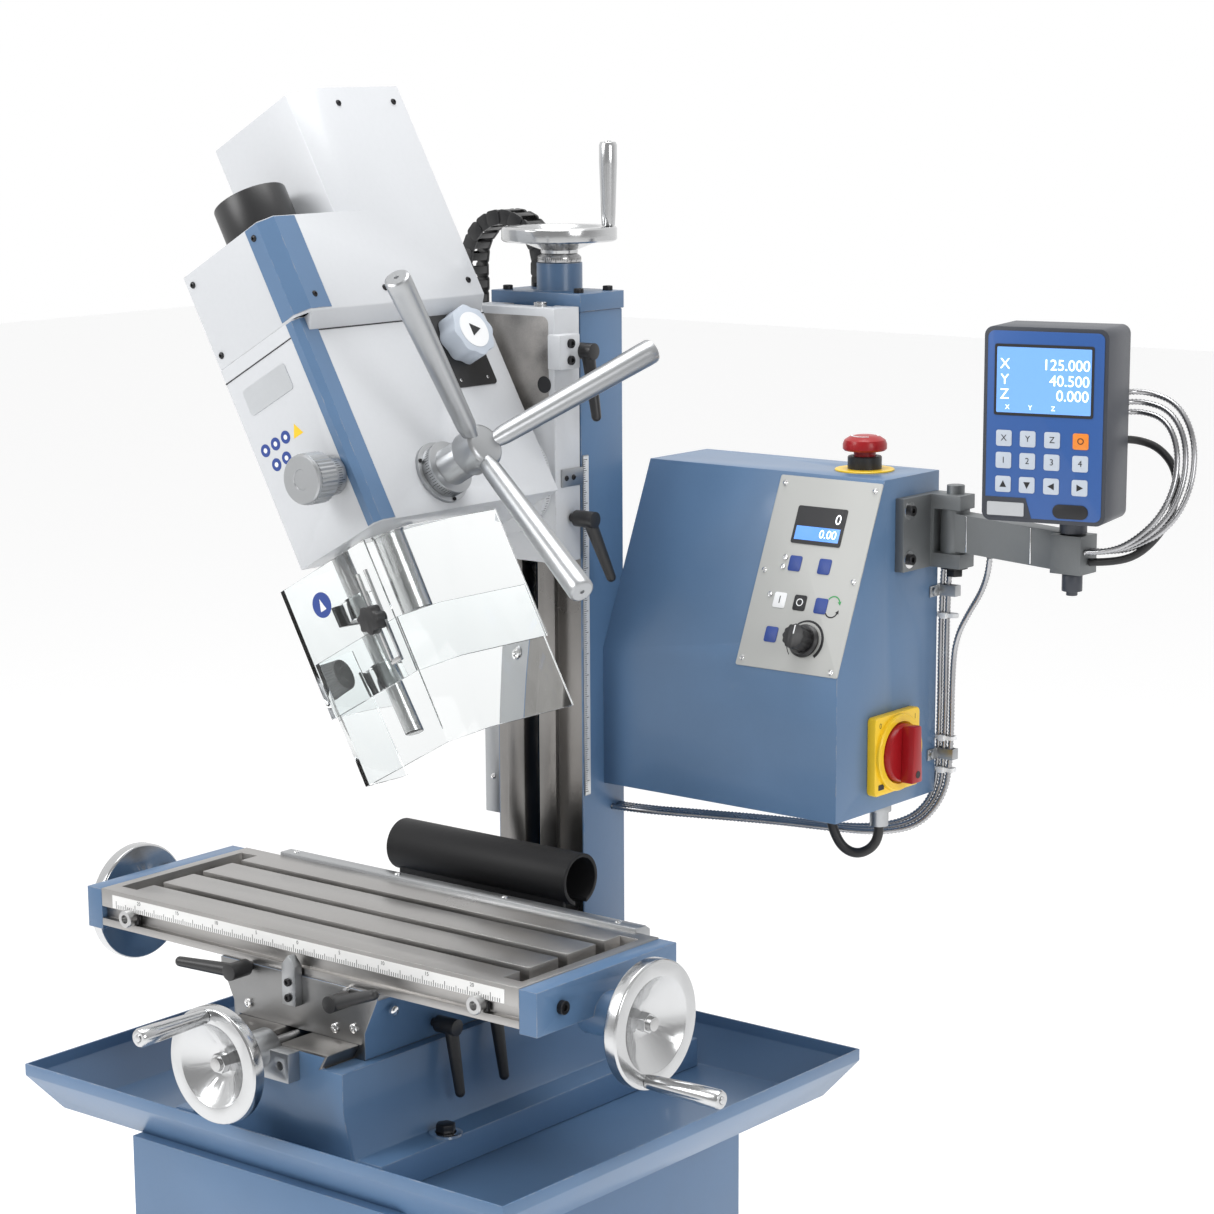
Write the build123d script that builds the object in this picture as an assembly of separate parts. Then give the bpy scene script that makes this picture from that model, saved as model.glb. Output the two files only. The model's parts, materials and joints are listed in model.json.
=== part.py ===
from build123d import *
import math
import os

# Vertical milling machine on a cabinet stand.  Millimetres, +X along the table,
# +Y towards the column, +Z up.  Origin: centre of the stand's footprint, on the floor.

# ---- driving dimensions: stand and tray ------------------------------------------------
STAND_WIDTH = 320.0
STAND_DEPTH = 480.0
STAND_HEIGHT = 738.0
STAND_WALL = 3.0
DOOR_WIDTH = 240.0
DOOR_HEIGHT = 560.0
DOOR_SILL = 90.0
DOOR_SHEET = 3.0
TRAY_WIDTH = 576.0
TRAY_DEPTH = 506.0
TRAY_HEIGHT = 44.0
TRAY_SLOPE = 24.0
TRAY_SHEET = 2.0
TRAY_RIM = 11.0

# ---- base, saddle and table ---------------------------------------------------------
BASE_HEIGHT = 103.0
BASE_FOOT_WIDTH = 250.0
BASE_FOOT_THICK = 28.0
BASE_NECK_WIDTH = 176.0
BASE_FRONT = -226.0
BASE_REAR = 222.0
Y_WAY_WIDTH = 144.0
Y_WAY_HEIGHT = 13.0
SADDLE_HEIGHT = 62.0
SADDLE_WIDTH = 188.0
SADDLE_BOTTOM_WIDTH = 158.0
SADDLE_FRONT = -188.0
SADDLE_REAR = 20.0
TABLE_LENGTH = 500.0
TABLE_WIDTH = 186.0
TABLE_THICK = 35.0
TABLE_CENTRE_Y = -93.0
X_WAY_WIDTH = 96.0
X_WAY_HEIGHT = 12.0
T_SLOT_WIDTH = 12.0
T_SLOT_HEAD = 20.0
T_SLOT_PITCH = 50.0
T_SLOT_COUNT = 3
GUTTER_WIDTH = 20.0
END_RAIL = 10.0
END_CAP_THICK = 19.0

# ---- column, vertical slide and head -----------------------------------------------------
COLUMN_WIDTH = 104.0
COLUMN_DEPTH = 61.0
COLUMN_HEIGHT = 613.0
COLUMN_WALL = 9.0
COLUMN_FRONT = 142.0
Z_WAY_WIDTH = 60.0
Z_WAY_HEIGHT = 13.0
Z_SLOT_WIDTH = 18.0
CAP_HEIGHT = 16.0
SLIDE_HEIGHT = 230.0
SLIDE_DEPTH = 37.0
SLIDE_DROP = 8.0
HEAD_TILT = -29.0
HEAD_PIVOT_RISE = 73.0
HEAD_WIDTH = 104.0
HEAD_FRONT = -140.0
HEAD_REAR = 97.0
HEAD_BOTTOM = -33.0
HEAD_TOP = 157.0
HEAD_WALL = 8.0
FLANGE_RADIUS = 48.0
COVER_LOW = 90.0
COVER_TALL = 211.0
COVER_OVERHANG = 12.0
COVER_STEP = 100.0
COVER_WALL = 2.5
COVER_CHAMFER = 11.0
SPINDLE_Y = -79.0
PINION_Y = -43.0
QUILL_RADIUS = 24.0
QUILL_LENGTH = 150.0
SPINDLE_RADIUS = 15.0
NOSE_RADIUS = 14.0
NOSE_LENGTH = 62.0
NOSE_BORE = 8.0
NOSE_BORE_DEPTH = 60.0
PINION_RADIUS = 11.9
SPOKE_RISE = 49.0
SPOKE_START = 132.4
SPOKE_LEAN = 27.4
SPOKE_LENGTH = 193.0
MOTOR_Y = 33.0
MOTOR_RADIUS = 40.0

# ---- screws, wheels, levers ---------------------------------------------------------
SCREW_RADIUS = 8.0
JOURNAL_RADIUS = 6.0
WHEEL_RADIUS = 55.0
Y_WHEEL_RADIUS = 51.0
WHEEL_HEIGHT = 24.0
WHEEL_RIM = 13.0
GRIP_LENGTH = 76.0
GRIP_PIN = 3.0
LEVER_LENGTH = 58.0

# ---- control box and read-out --------------------------------------------------------------
BOX_WIDTH = 262.0
BOX_HEIGHT = 298.0
BOX_FOLD = 129.0
BOX_DEPTH = 160.0
BOX_SLOPE = 72.0
BOX_LIFT = 172.0
BOX_FRONT_INSET = 30.0
BOX_WALL = 2.0
DRO_WIDTH = 110.0
DRO_HEIGHT = 167.0
DRO_DEPTH = 60.0
DRO_TURN = 12.0
DRO_SHIFT = -11.4
ARM_DROP = 8.0
ARM_HALF = 17.0
CONDUIT_RADIUS = 3.0
LEAD_RADIUS = 2.8
CABLE_RADIUS = 4.5

# ---- clearances ---------------------------------------------------------
RUN_GAP = 0.05
WAY_GAP = 0.1
PART_GAP = 0.5

# ---- levels that follow from the sizes above --------------------------------------------------
BASE_Z = STAND_HEIGHT + TRAY_SHEET
SHOULDER_Z = BASE_Z + BASE_HEIGHT
Y_WAY_TOP = SHOULDER_Z + Y_WAY_HEIGHT
TABLE_BOTTOM = SHOULDER_Z + SADDLE_HEIGHT
TABLE_TOP = TABLE_BOTTOM + TABLE_THICK
X_SCREW_Z = TABLE_BOTTOM - 6.0
Y_SCREW_Z = Y_WAY_TOP - 6.0
COLUMN_TOP = SHOULDER_Z + COLUMN_HEIGHT
CAP_TOP = COLUMN_TOP + CAP_HEIGHT
Z_SCREW_Y = COLUMN_FRONT + 34.0
SLIDE_TOP = COLUMN_TOP - SLIDE_DROP + 13.0
SLIDE_BOTTOM = SLIDE_TOP - SLIDE_HEIGHT
SLIDE_FRONT = COLUMN_FRONT - SLIDE_DEPTH
PIVOT_Z = SLIDE_BOTTOM + HEAD_PIVOT_RISE
BOX_LEFT = COLUMN_WIDTH / 2
BOX_BOTTOM = SHOULDER_Z + BOX_LIFT
BOX_TOP = BOX_BOTTOM + BOX_HEIGHT
BOX_FRONT = COLUMN_FRONT + BOX_FRONT_INSET
BOX_RIGHT = BOX_LEFT + BOX_WIDTH
BOX_REAR = BOX_FRONT + BOX_DEPTH
SLOPE_LENGTH = math.hypot(BOX_HEIGHT - BOX_FOLD, BOX_SLOPE)
SLOPE_ANGLE = math.degrees(math.atan2(BOX_SLOPE, BOX_HEIGHT - BOX_FOLD))

OUT = {}


def block(x, y, z):
    """A box between two limits on each axis."""
    size = [b - a for a, b in (x, y, z)]
    centre = [(a + b) / 2 for a, b in (x, y, z)]
    return Pos(*centre) * Box(*size)


def rod(start, axis, radius, length):
    """A cylinder that starts at a point and runs along X, Y or Z (a sign turns it round)."""
    turn = {"+X": (0, 90, 0), "-X": (0, -90, 0), "+Y": (-90, 0, 0), "-Y": (90, 0, 0),
            "+Z": (0, 0, 0), "-Z": (180, 0, 0)}[axis]
    body = Cylinder(radius, length, align=(Align.CENTER, Align.CENTER, Align.MIN))
    return Pos(*start) * Rot(*turn) * body


def turned(points):
    """A solid of revolution about Z from a closed outline of (radius, height) points."""
    return revolve(make_face(Polyline([(r, 0, z) for r, z in points], close=True)), Axis.Z)


def aim(point, axis):
    """The place that turns local +Z to a named axis at a point."""
    turn = {"+X": (0, 90, 0), "-X": (0, -90, 0), "+Y": (-90, 0, 0), "-Y": (90, 0, 0),
            "+Z": (0, 0, 0), "-Z": (180, 0, 0)}[axis]
    return Pos(*point) * Rot(*turn)


def bar_x(outline, x0, x1):
    """A straight bar along X from an outline of (y, z) points."""
    wire = Polyline([(x0, y, z) for y, z in outline], close=True)
    return extrude(make_face(wire), amount=x1 - x0, dir=(1, 0, 0))


def bar_y(outline, y0, y1):
    """A straight bar along Y from an outline of (x, z) points."""
    wire = Polyline([(x, y0, z) for x, z in outline], close=True)
    return extrude(make_face(wire), amount=y1 - y0, dir=(0, 1, 0))


def bar_z(outline, z0, z1):
    """An upright bar from an outline of (x, y) points."""
    wire = Polyline([(x, y, z0) for x, y in outline], close=True)
    return extrude(make_face(wire), amount=z1 - z0, dir=(0, 0, 1))


def group(*solids):
    """Separate solids that share one node."""
    return Compound(children=list(solids))


def keep(name, shape):
    """Store one node's shape under its name."""
    OUT[name] = shape


def tilted(shape):
    """Place a shape that is drawn in the upright head's own frame (z = 0 at the pivot)."""
    return Pos(0, 0, PIVOT_Z) * Rot(0, HEAD_TILT, 0) * shape


# ---- stand ---------------------------------------------------------
def stand_cabinet():
    """Folded sheet cabinet with a door opening and four floor bolt holes."""
    half_x, half_y = STAND_WIDTH / 2, STAND_DEPTH / 2
    body = block((-half_x, half_x), (-half_y, half_y), (0, STAND_HEIGHT))
    wall = STAND_WALL
    body -= block((-half_x + wall, half_x - wall), (-half_y + wall, half_y - wall),
                  (wall, STAND_HEIGHT - wall))
    body -= block((-DOOR_WIDTH / 2 + 8, DOOR_WIDTH / 2 - 8), (-half_y - 1, -half_y + wall + 1),
                  (DOOR_SILL + 8, DOOR_SILL + DOOR_HEIGHT - 8))
    shelf_z = DOOR_SILL + DOOR_HEIGHT / 2
    body += block((-half_x + wall, half_x - wall), (-half_y + 60, half_y - wall),
                  (shelf_z, shelf_z + wall))
    for x in (-half_x + 30, half_x - 30):
        for y in (-half_y + 30, half_y - 30):
            body -= rod((x, y, -1), "+Z", 6.5, wall + 2)
    return body


def stand_door():
    """Flat door in front of the cabinet with a folded pull along its free edge."""
    face = -STAND_DEPTH / 2 - PART_GAP
    half = DOOR_WIDTH / 2
    door = block((-half, half), (face - DOOR_SHEET, face), (DOOR_SILL, DOOR_SILL + DOOR_HEIGHT))
    mid = DOOR_SILL + DOOR_HEIGHT / 2
    pull = block((half - 34, half - 22), (face - DOOR_SHEET - 22, face - DOOR_SHEET),
                 (mid - 50, mid + 50))
    pull -= block((half - 40, half - 16), (face - DOOR_SHEET - 14, face - DOOR_SHEET),
                  (mid - 38, mid + 38))
    return door + pull


def chip_tray():
    """Coolant tray with sloped walls and a plain rim band."""
    half_x, half_y = TRAY_WIDTH / 2, TRAY_DEPTH / 2
    low, high = STAND_HEIGHT, STAND_HEIGHT + TRAY_HEIGHT
    band = high - TRAY_RIM

    def frustum(shrink, z0, z1):
        bottom = Pos(0, 0, z0) * Rectangle(2 * (half_x - TRAY_SLOPE - shrink),
                                           2 * (half_y - TRAY_SLOPE - shrink))
        top = Pos(0, 0, z1) * Rectangle(2 * (half_x - shrink), 2 * (half_y - shrink))
        return loft([bottom, top])

    sheet = TRAY_SHEET
    body = frustum(0, low, band) + block((-half_x, half_x), (-half_y, half_y), (band, high))
    body -= frustum(sheet, low + sheet, band)
    body -= block((-half_x + sheet, half_x - sheet), (-half_y + sheet, half_y - sheet),
                  (band, high + 1))
    return body


# ---- base, saddle, table ---------------------------------------------------------
def dovetail(top_width, height, inset):
    """Outline of a raised dovetail: full width at its top, narrower at its root."""
    half = top_width / 2
    return [(-half + inset, 0), (half - inset, 0), (half, height), (-half, height)]


def base_casting():
    """Cast base: foot, flared body, dovetail way and the column's seat."""
    foot = block((-BASE_FOOT_WIDTH / 2, BASE_FOOT_WIDTH / 2), (BASE_FRONT + 6, BASE_REAR),
                 (BASE_Z, BASE_Z + BASE_FOOT_THICK))
    low, high = BASE_FOOT_WIDTH / 2 - 22, BASE_NECK_WIDTH / 2
    knee = SHOULDER_Z - 34
    flare = bar_y([(-low, BASE_Z), (low, BASE_Z), (high, knee), (high, SHOULDER_Z),
                   (-high, SHOULDER_Z), (-high, knee)], BASE_FRONT, BASE_REAR)
    way = [(x, SHOULDER_Z + z) for x, z in dovetail(Y_WAY_WIDTH, Y_WAY_HEIGHT, 8)]
    body = foot + flare + bar_y(way, BASE_FRONT, COLUMN_FRONT - 20)
    body -= block((-14, 14), (BASE_FRONT - 1, COLUMN_FRONT - 30), (Y_SCREW_Z - 16, Y_WAY_TOP + 1))
    body -= block((-66, 66), (BASE_FRONT + 26, BASE_REAR - 20), (BASE_Z - 1, SHOULDER_Z - 30))
    return body


def base_bolts():
    """Four hexagon bolts with washers that hold the base and the tray to the stand."""
    solids = []
    x = BASE_FOOT_WIDTH / 2 - 11
    z = BASE_Z + BASE_FOOT_THICK
    for side in (-x, x):
        for y in (BASE_FRONT + 100, BASE_REAR - 50):
            washer = rod((side, y, z), "+Z", 10.5, 2.5)
            head = extrude(Pos(side, y, z + 2.5) * RegularPolygon(9, 6), amount=9)
            solids.append(washer + head)
    return group(*solids)


def y_screw_bracket():
    """Bearing block of the cross screw on the front of the base."""
    plate = block((-38, 38), (BASE_FRONT - 14, BASE_FRONT), (Y_SCREW_Z - 22, Y_SCREW_Z + 4))
    boss = rod((0, BASE_FRONT - 30, Y_SCREW_Z), "+Y", 17, 30)
    body = plate + boss
    body -= rod((0, BASE_FRONT - 40, Y_SCREW_Z), "+Y", JOURNAL_RADIUS + RUN_GAP, 50)
    for x in (-28, 28):
        body -= rod((x, BASE_FRONT - 20, Y_SCREW_Z - 8), "+Y", 4, 12)
    return body


def saddle():
    """Cross slide: dovetail groove below, raised dovetail above, screw channel through it."""
    top, bottom = SADDLE_WIDTH / 2, SADDLE_BOTTOM_WIDTH / 2
    z0, z1 = SHOULDER_Z + WAY_GAP, TABLE_BOTTOM - WAY_GAP
    knee = z0 + 24
    body = bar_y([(-bottom, z0), (bottom, z0), (bottom, knee), (top, z1 - 6), (top, z1),
                  (-top, z1), (-top, z1 - 6), (-bottom, knee)], SADDLE_FRONT, SADDLE_REAR)
    groove = [(x, SHOULDER_Z + z) for x, z in
              dovetail(Y_WAY_WIDTH + 4 * WAY_GAP, Y_WAY_HEIGHT + WAY_GAP, 8)]
    body -= bar_y(groove, SADDLE_FRONT - 1, SADDLE_REAR + 1)
    way = [(TABLE_CENTRE_Y + y, TABLE_BOTTOM - WAY_GAP + z) for y, z in
           dovetail(X_WAY_WIDTH, X_WAY_HEIGHT, 7)]
    body += bar_x(way, -top, top)
    body -= block((-top - 1, top + 1), (TABLE_CENTRE_Y - 13, TABLE_CENTRE_Y + 13),
                  (X_SCREW_Z - 13, TABLE_TOP))
    return body


def feed_nuts():
    """Bronze nuts of the table screw and of the cross screw, both held by the saddle."""
    x_nut = block((-30, 30), (TABLE_CENTRE_Y - 13, TABLE_CENTRE_Y + 13),
                  (X_SCREW_Z - 13, X_SCREW_Z + 11))
    x_nut -= rod((-31, TABLE_CENTRE_Y, X_SCREW_Z), "+X", SCREW_RADIUS + RUN_GAP, 62)
    y_nut = block((-12, 12), (TABLE_CENTRE_Y + 30, TABLE_CENTRE_Y + 70),
                  (Y_SCREW_Z - 14, Y_WAY_TOP + WAY_GAP))
    y_nut -= rod((0, TABLE_CENTRE_Y + 29, Y_SCREW_Z), "+Y", SCREW_RADIUS - 2 + RUN_GAP, 42)
    return group(x_nut, y_nut)


def way_apron():
    """Rubber sheet rolled up behind the table, over the rear of the cross way."""
    y, z = SADDLE_REAR + 48, TABLE_TOP + 13
    roll = rod((-108, y, z), "+X", 24, 216) - rod((-109, y, z), "+X", 20.5, 218)
    roll -= block((-109, 109), (y - 8, y + 8), (z - 26, z - 16))
    skirt = block((-100, 100), (SADDLE_REAR, y - 12), (TABLE_BOTTOM - 30, TABLE_BOTTOM - 27))
    rise = block((-100, 100), (y - 15, y - 12), (TABLE_BOTTOM - 30, z - 18))
    return roll + skirt + rise


def table():
    """Table with T-slots, end gutters, a stop groove in front and a dovetail groove below."""
    half_x, half_y = TABLE_LENGTH / 2, TABLE_WIDTH / 2
    cy = TABLE_CENTRE_Y
    body = block((-half_x, half_x), (cy - half_y, cy + half_y), (TABLE_BOTTOM, TABLE_TOP))
    for i in range(T_SLOT_COUNT):
        y = cy + (i - (T_SLOT_COUNT - 1) / 2) * T_SLOT_PITCH
        reach = half_x - END_RAIL
        body -= block((-reach, reach), (y - T_SLOT_WIDTH / 2, y + T_SLOT_WIDTH / 2),
                      (TABLE_TOP - 12, TABLE_TOP + 1))
        body -= block((-reach, reach), (y - T_SLOT_HEAD / 2, y + T_SLOT_HEAD / 2),
                      (TABLE_TOP - 19, TABLE_TOP - 12))
    for side in (-1, 1):
        inner, outer = side * (half_x - END_RAIL - GUTTER_WIDTH), side * (half_x - END_RAIL)
        body -= block(sorted((inner, outer)), (cy - half_y + 16, cy + half_y - 16),
                      (TABLE_TOP - 14, TABLE_TOP + 1))
    body -= block((-half_x - 1, half_x + 1), (cy - half_y - 1, cy - half_y + 6),
                  (TABLE_TOP - 28, TABLE_TOP - 17))
    groove = [(cy + y, TABLE_BOTTOM + z) for y, z in
              dovetail(X_WAY_WIDTH + 4 * WAY_GAP, X_WAY_HEIGHT + WAY_GAP, 7)]
    body -= bar_x(groove, -half_x - 1, half_x + 1)
    return body


def table_end_caps():
    """Cast caps on both table ends, each with a bearing boss for the table screw."""
    solids = []
    half_y = TABLE_WIDTH / 2
    cy = TABLE_CENTRE_Y
    for side, boss in ((1, 16), (-1, 6)):
        face = side * TABLE_LENGTH / 2
        far = face + side * END_CAP_THICK
        plate = block(sorted((face, far)), (cy - half_y, cy + half_y),
                      (TABLE_BOTTOM - 4, TABLE_TOP - 1))
        axis = "+X" if side > 0 else "-X"
        plate += rod((face, cy, X_SCREW_Z), axis, 20, END_CAP_THICK + boss)
        plate -= rod((face - side, cy, X_SCREW_Z), axis, JOURNAL_RADIUS + RUN_GAP, 60)
        for y in (-62, 62):
            plate -= rod((far - side * 8, cy + y, TABLE_TOP - 20), axis, 4, 10)
        solids.append(plate)
    return group(*solids)


def table_scale_cover():
    """Aluminium cover of the read-out scale along the back of the table."""
    y = TABLE_CENTRE_Y + TABLE_WIDTH / 2
    z = TABLE_TOP + 3
    cover = bar_x([(y, z - 26), (y + 20, z - 26), (y + 20, z - 4), (y + 14, z), (y, z)], -205, 225)
    return cover


# ---- screws, wheels and grips ---------------------------------------------------------
def handwheel(radius):
    """Dished handwheel about local Z: hub at the back, flat rim in front."""
    rim_in = radius - 14
    back = WHEEL_HEIGHT - WHEEL_RIM
    return turned([(JOURNAL_RADIUS, 0), (17, 0), (17, 3), (rim_in - 2, back), (radius - 1.5, back),
                   (radius, back + 1.5), (radius, WHEEL_HEIGHT - 1.5),
                   (radius - 1.5, WHEEL_HEIGHT), (rim_in, WHEEL_HEIGHT),
                   (rim_in - 3, WHEEL_HEIGHT - 3), (14, 9), (JOURNAL_RADIUS, 9)])


def wheel_with_pin(radius, angle):
    """Handwheel with its shaft nut, and the pin that carries the grip."""
    wheel = handwheel(radius)
    reach = radius - 8
    spot = (reach * math.cos(math.radians(angle)), reach * math.sin(math.radians(angle)))
    wheel += rod((*spot, WHEEL_HEIGHT - 1), "+Z", GRIP_PIN, GRIP_LENGTH + 2)
    nut = extrude(Pos(0, 0, 9) * RegularPolygon(9, 6), amount=8)
    nut -= rod((0, 0, 8), "+Z", JOURNAL_RADIUS, 12)
    return wheel + nut


def grip(radius, angle):
    """Turned grip that spins on the wheel's pin."""
    reach = radius - 8
    spot = (reach * math.cos(math.radians(angle)), reach * math.sin(math.radians(angle)))
    bore = GRIP_PIN + RUN_GAP
    length = GRIP_LENGTH
    outline = [(bore, 0.5), (6, 0.5), (6.5, 8), (8.2, length * 0.75), (8.2, length - 3),
               (7, length), (bore, length)]
    return Pos(*spot, WHEEL_HEIGHT) * turned(outline)


def screw_end(point, axis, length):
    """Journal and dial of a feed screw from its bearing face out through the wheel."""
    return aim(point, axis) * Cylinder(JOURNAL_RADIUS, length,
                                       align=(Align.CENTER, Align.CENTER, Align.MIN))


def dial(point, axis, radius, length):
    """Graduated collar on a feed screw."""
    ring = turned([(JOURNAL_RADIUS, 0), (radius, 0), (radius, length * 0.6),
                   (radius - 4, length), (JOURNAL_RADIUS, length)])
    return aim(point, axis) * ring


def x_axis_places():
    """Where the two table wheels sit: a point and an axis for each side."""
    right = TABLE_LENGTH / 2 + END_CAP_THICK + 16 + PART_GAP
    left = -(TABLE_LENGTH / 2 + END_CAP_THICK + 6 + PART_GAP)
    return ((right, TABLE_CENTRE_Y, X_SCREW_Z), "+X"), ((left, TABLE_CENTRE_Y, X_SCREW_Z), "-X")


def x_leadscrew():
    """Table screw with its thread between the caps and a dial at each end."""
    inner = TABLE_LENGTH / 2 - 2
    body = rod((-inner, TABLE_CENTRE_Y, X_SCREW_Z), "+X", SCREW_RADIUS, 2 * inner)
    for (point, axis), extra in zip(x_axis_places(), (32, 32)):
        side = 1 if axis == "+X" else -1
        start = (side * (inner - 1), *point[1:])
        body += screw_end(start, axis, abs(point[0]) - inner + 1 + extra)
        body += dial(point, axis, 17, 10)
    return body


def x_handwheels():
    """The two table handwheels; only the right one carries a grip."""
    (point, axis), (point_l, axis_l) = x_axis_places()
    right = aim((point[0] + 10, *point[1:]), axis) * wheel_with_pin(WHEEL_RADIUS, -15)
    left = aim((point_l[0] - 10, *point_l[1:]), axis_l) * handwheel(WHEEL_RADIUS)
    return group(right, left)


def x_grip():
    """Grip of the right table handwheel."""
    (point, axis), _ = x_axis_places()
    return aim((point[0] + 10, *point[1:]), axis) * grip(WHEEL_RADIUS, -15)


Y_WHEEL_PLACE = (0, BASE_FRONT - 30 - PART_GAP - 12, Y_SCREW_Z)


def y_leadscrew():
    """Cross screw from its dial in front to the nut under the saddle."""
    rear = TABLE_CENTRE_Y + 205
    body = rod((0, BASE_FRONT + 6, Y_SCREW_Z), "+Y", SCREW_RADIUS - 2, rear - BASE_FRONT - 6)
    start = Y_WHEEL_PLACE[1] - 20
    body += rod((0, start, Y_SCREW_Z), "+Y", JOURNAL_RADIUS, BASE_FRONT + 7 - start)
    body += dial((0, Y_WHEEL_PLACE[1] + 12, Y_SCREW_Z), "-Y", 17, 12)
    return body


def y_handwheel():
    """Handwheel of the cross screw."""
    return aim(Y_WHEEL_PLACE, "-Y") * wheel_with_pin(Y_WHEEL_RADIUS, 98)


def y_grip():
    """Grip of the cross handwheel."""
    return aim(Y_WHEEL_PLACE, "-Y") * grip(Y_WHEEL_RADIUS, 98)


Z_WHEEL_PLACE = (0, Z_SCREW_Y, CAP_TOP + 25 + PART_GAP + 8)


def z_leadscrew():
    """Vertical screw inside the column, hung from its bearing in the column cap."""
    top = COLUMN_TOP - 2
    body = rod((0, Z_SCREW_Y, SHOULDER_Z + 60), "+Z", 9, top - SHOULDER_Z - 60)
    body += rod((0, Z_SCREW_Y, top - 1), "+Z", JOURNAL_RADIUS, Z_WHEEL_PLACE[2] + 20 - top)
    body += dial((0, Z_SCREW_Y, Z_WHEEL_PLACE[2] - 8), "+Z", 20, 8)
    return body


def z_handwheel():
    """Handwheel on top of the column."""
    return aim(Z_WHEEL_PLACE, "+Z") * wheel_with_pin(WHEEL_RADIUS - 2, 37)


def z_grip():
    """Grip of the column handwheel."""
    return aim(Z_WHEEL_PLACE, "+Z") * grip(WHEEL_RADIUS - 2, 37)


def clamp_lever(place, swing):
    """Adjustable clamping lever about local Z: hub on a stud, arm leaning away from the face."""
    hub = rod((0, 0, 6), "+Z", 7.5, 22)
    stud = rod((0, 0, 0.3), "+Z", 4, 6)
    tip = Pos(LEVER_LENGTH, 0, 30) * Sphere(4.5)
    arm = loft([Pos(3, 0, 21) * Rot(0, 76, 0) * Circle(6.2),
                Pos(LEVER_LENGTH, 0, 30) * Rot(0, 82, 0) * Circle(4.5)])
    return place * Rot(0, 0, swing) * (hub + stud + arm + tip)


# ---- column and vertical slide ---------------------------------------------------------
def column():
    """Hollow column with a dovetail way in front, split by a slot for the nut's arm."""
    half = COLUMN_WIDTH / 2
    rear = COLUMN_FRONT + COLUMN_DEPTH
    wall = COLUMN_WALL
    body = block((-half, half), (COLUMN_FRONT, rear), (SHOULDER_Z, COLUMN_TOP))
    h = Z_WAY_WIDTH / 2
    way = [(-h + 7, COLUMN_FRONT), (h - 7, COLUMN_FRONT), (h, COLUMN_FRONT - Z_WAY_HEIGHT),
           (-h, COLUMN_FRONT - Z_WAY_HEIGHT)]
    body += bar_z(way, SHOULDER_Z + Y_WAY_HEIGHT, COLUMN_TOP)
    body -= block((-half + wall, half - wall), (COLUMN_FRONT + wall, rear - wall),
                  (SHOULDER_Z + 20, COLUMN_TOP + 1))
    slot = Z_SLOT_WIDTH / 2
    body -= block((-slot, slot), (COLUMN_FRONT - 20, COLUMN_FRONT + wall + 1),
                  (SHOULDER_Z + 60, COLUMN_TOP + 1))
    return body


def column_cap():
    """Cap on the column with the bearing collar of the vertical screw."""
    half = COLUMN_WIDTH / 2 + 1
    body = block((-half, half), (COLUMN_FRONT - 1, COLUMN_FRONT + COLUMN_DEPTH + 1),
                 (COLUMN_TOP, CAP_TOP))
    body += rod((0, Z_SCREW_Y, CAP_TOP), "+Z", 21, 25)
    body -= rod((0, Z_SCREW_Y, COLUMN_TOP - 1), "+Z", JOURNAL_RADIUS + RUN_GAP, 60)
    return body


def column_scales():
    """Graduated height strip on the column's side and the scale cover beside its way."""
    x = COLUMN_WIDTH / 2
    strip = block((x, x + 1.2), (COLUMN_FRONT + 1, COLUMN_FRONT + 9),
                  (SHOULDER_Z + 165, SHOULDER_Z + 483))
    low, high = SHOULDER_Z + 132, COLUMN_TOP - 20
    cover = block((-x - 20, -x), (COLUMN_FRONT + 4, COLUMN_FRONT + 24), (low, high))
    return group(strip, cover)


def z_slide():
    """Vertical slide: dovetail groove behind, nut arm through the column's slot."""
    half = COLUMN_WIDTH / 2
    rear = COLUMN_FRONT - 2
    body = block((-half, half), (SLIDE_FRONT, rear), (SLIDE_BOTTOM, SLIDE_TOP))
    h = Z_WAY_WIDTH / 2 + WAY_GAP
    front = COLUMN_FRONT - Z_WAY_HEIGHT - WAY_GAP
    body -= bar_z([(-h + 7, COLUMN_FRONT), (h - 7, COLUMN_FRONT), (h, front), (-h, front)],
                  SLIDE_BOTTOM - 1, SLIDE_TOP + 1)
    body -= block((-h + 7, h - 7), (rear - 3, COLUMN_FRONT + 1), (SLIDE_BOTTOM - 1, SLIDE_TOP + 1))
    body -= rod((40, SLIDE_FRONT - 1, SLIDE_TOP - 68), "+Y", 7, 20)
    arm_z = SLIDE_BOTTOM + 90
    arm = block((-7.5, 7.5), (front - 1, Z_SCREW_Y - 12), (arm_z, arm_z + 36))
    nut = rod((0, Z_SCREW_Y, arm_z), "+Z", 15, 36)
    body += arm + nut
    body -= rod((0, Z_SCREW_Y, arm_z - 1), "+Z", 9 + RUN_GAP, 38)
    return body


# ---- head (drawn upright, z = 0 at the tilt pivot) ------------------------------------
def rect_with_corner(x0, x1, y0, y1, chamfer):
    """Plan outline of the head with its front right corner cut off."""
    return [(x0, y0), (x1 - chamfer, y0), (x1, y0 + chamfer), (x1, y1), (x0, y1)]


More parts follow.
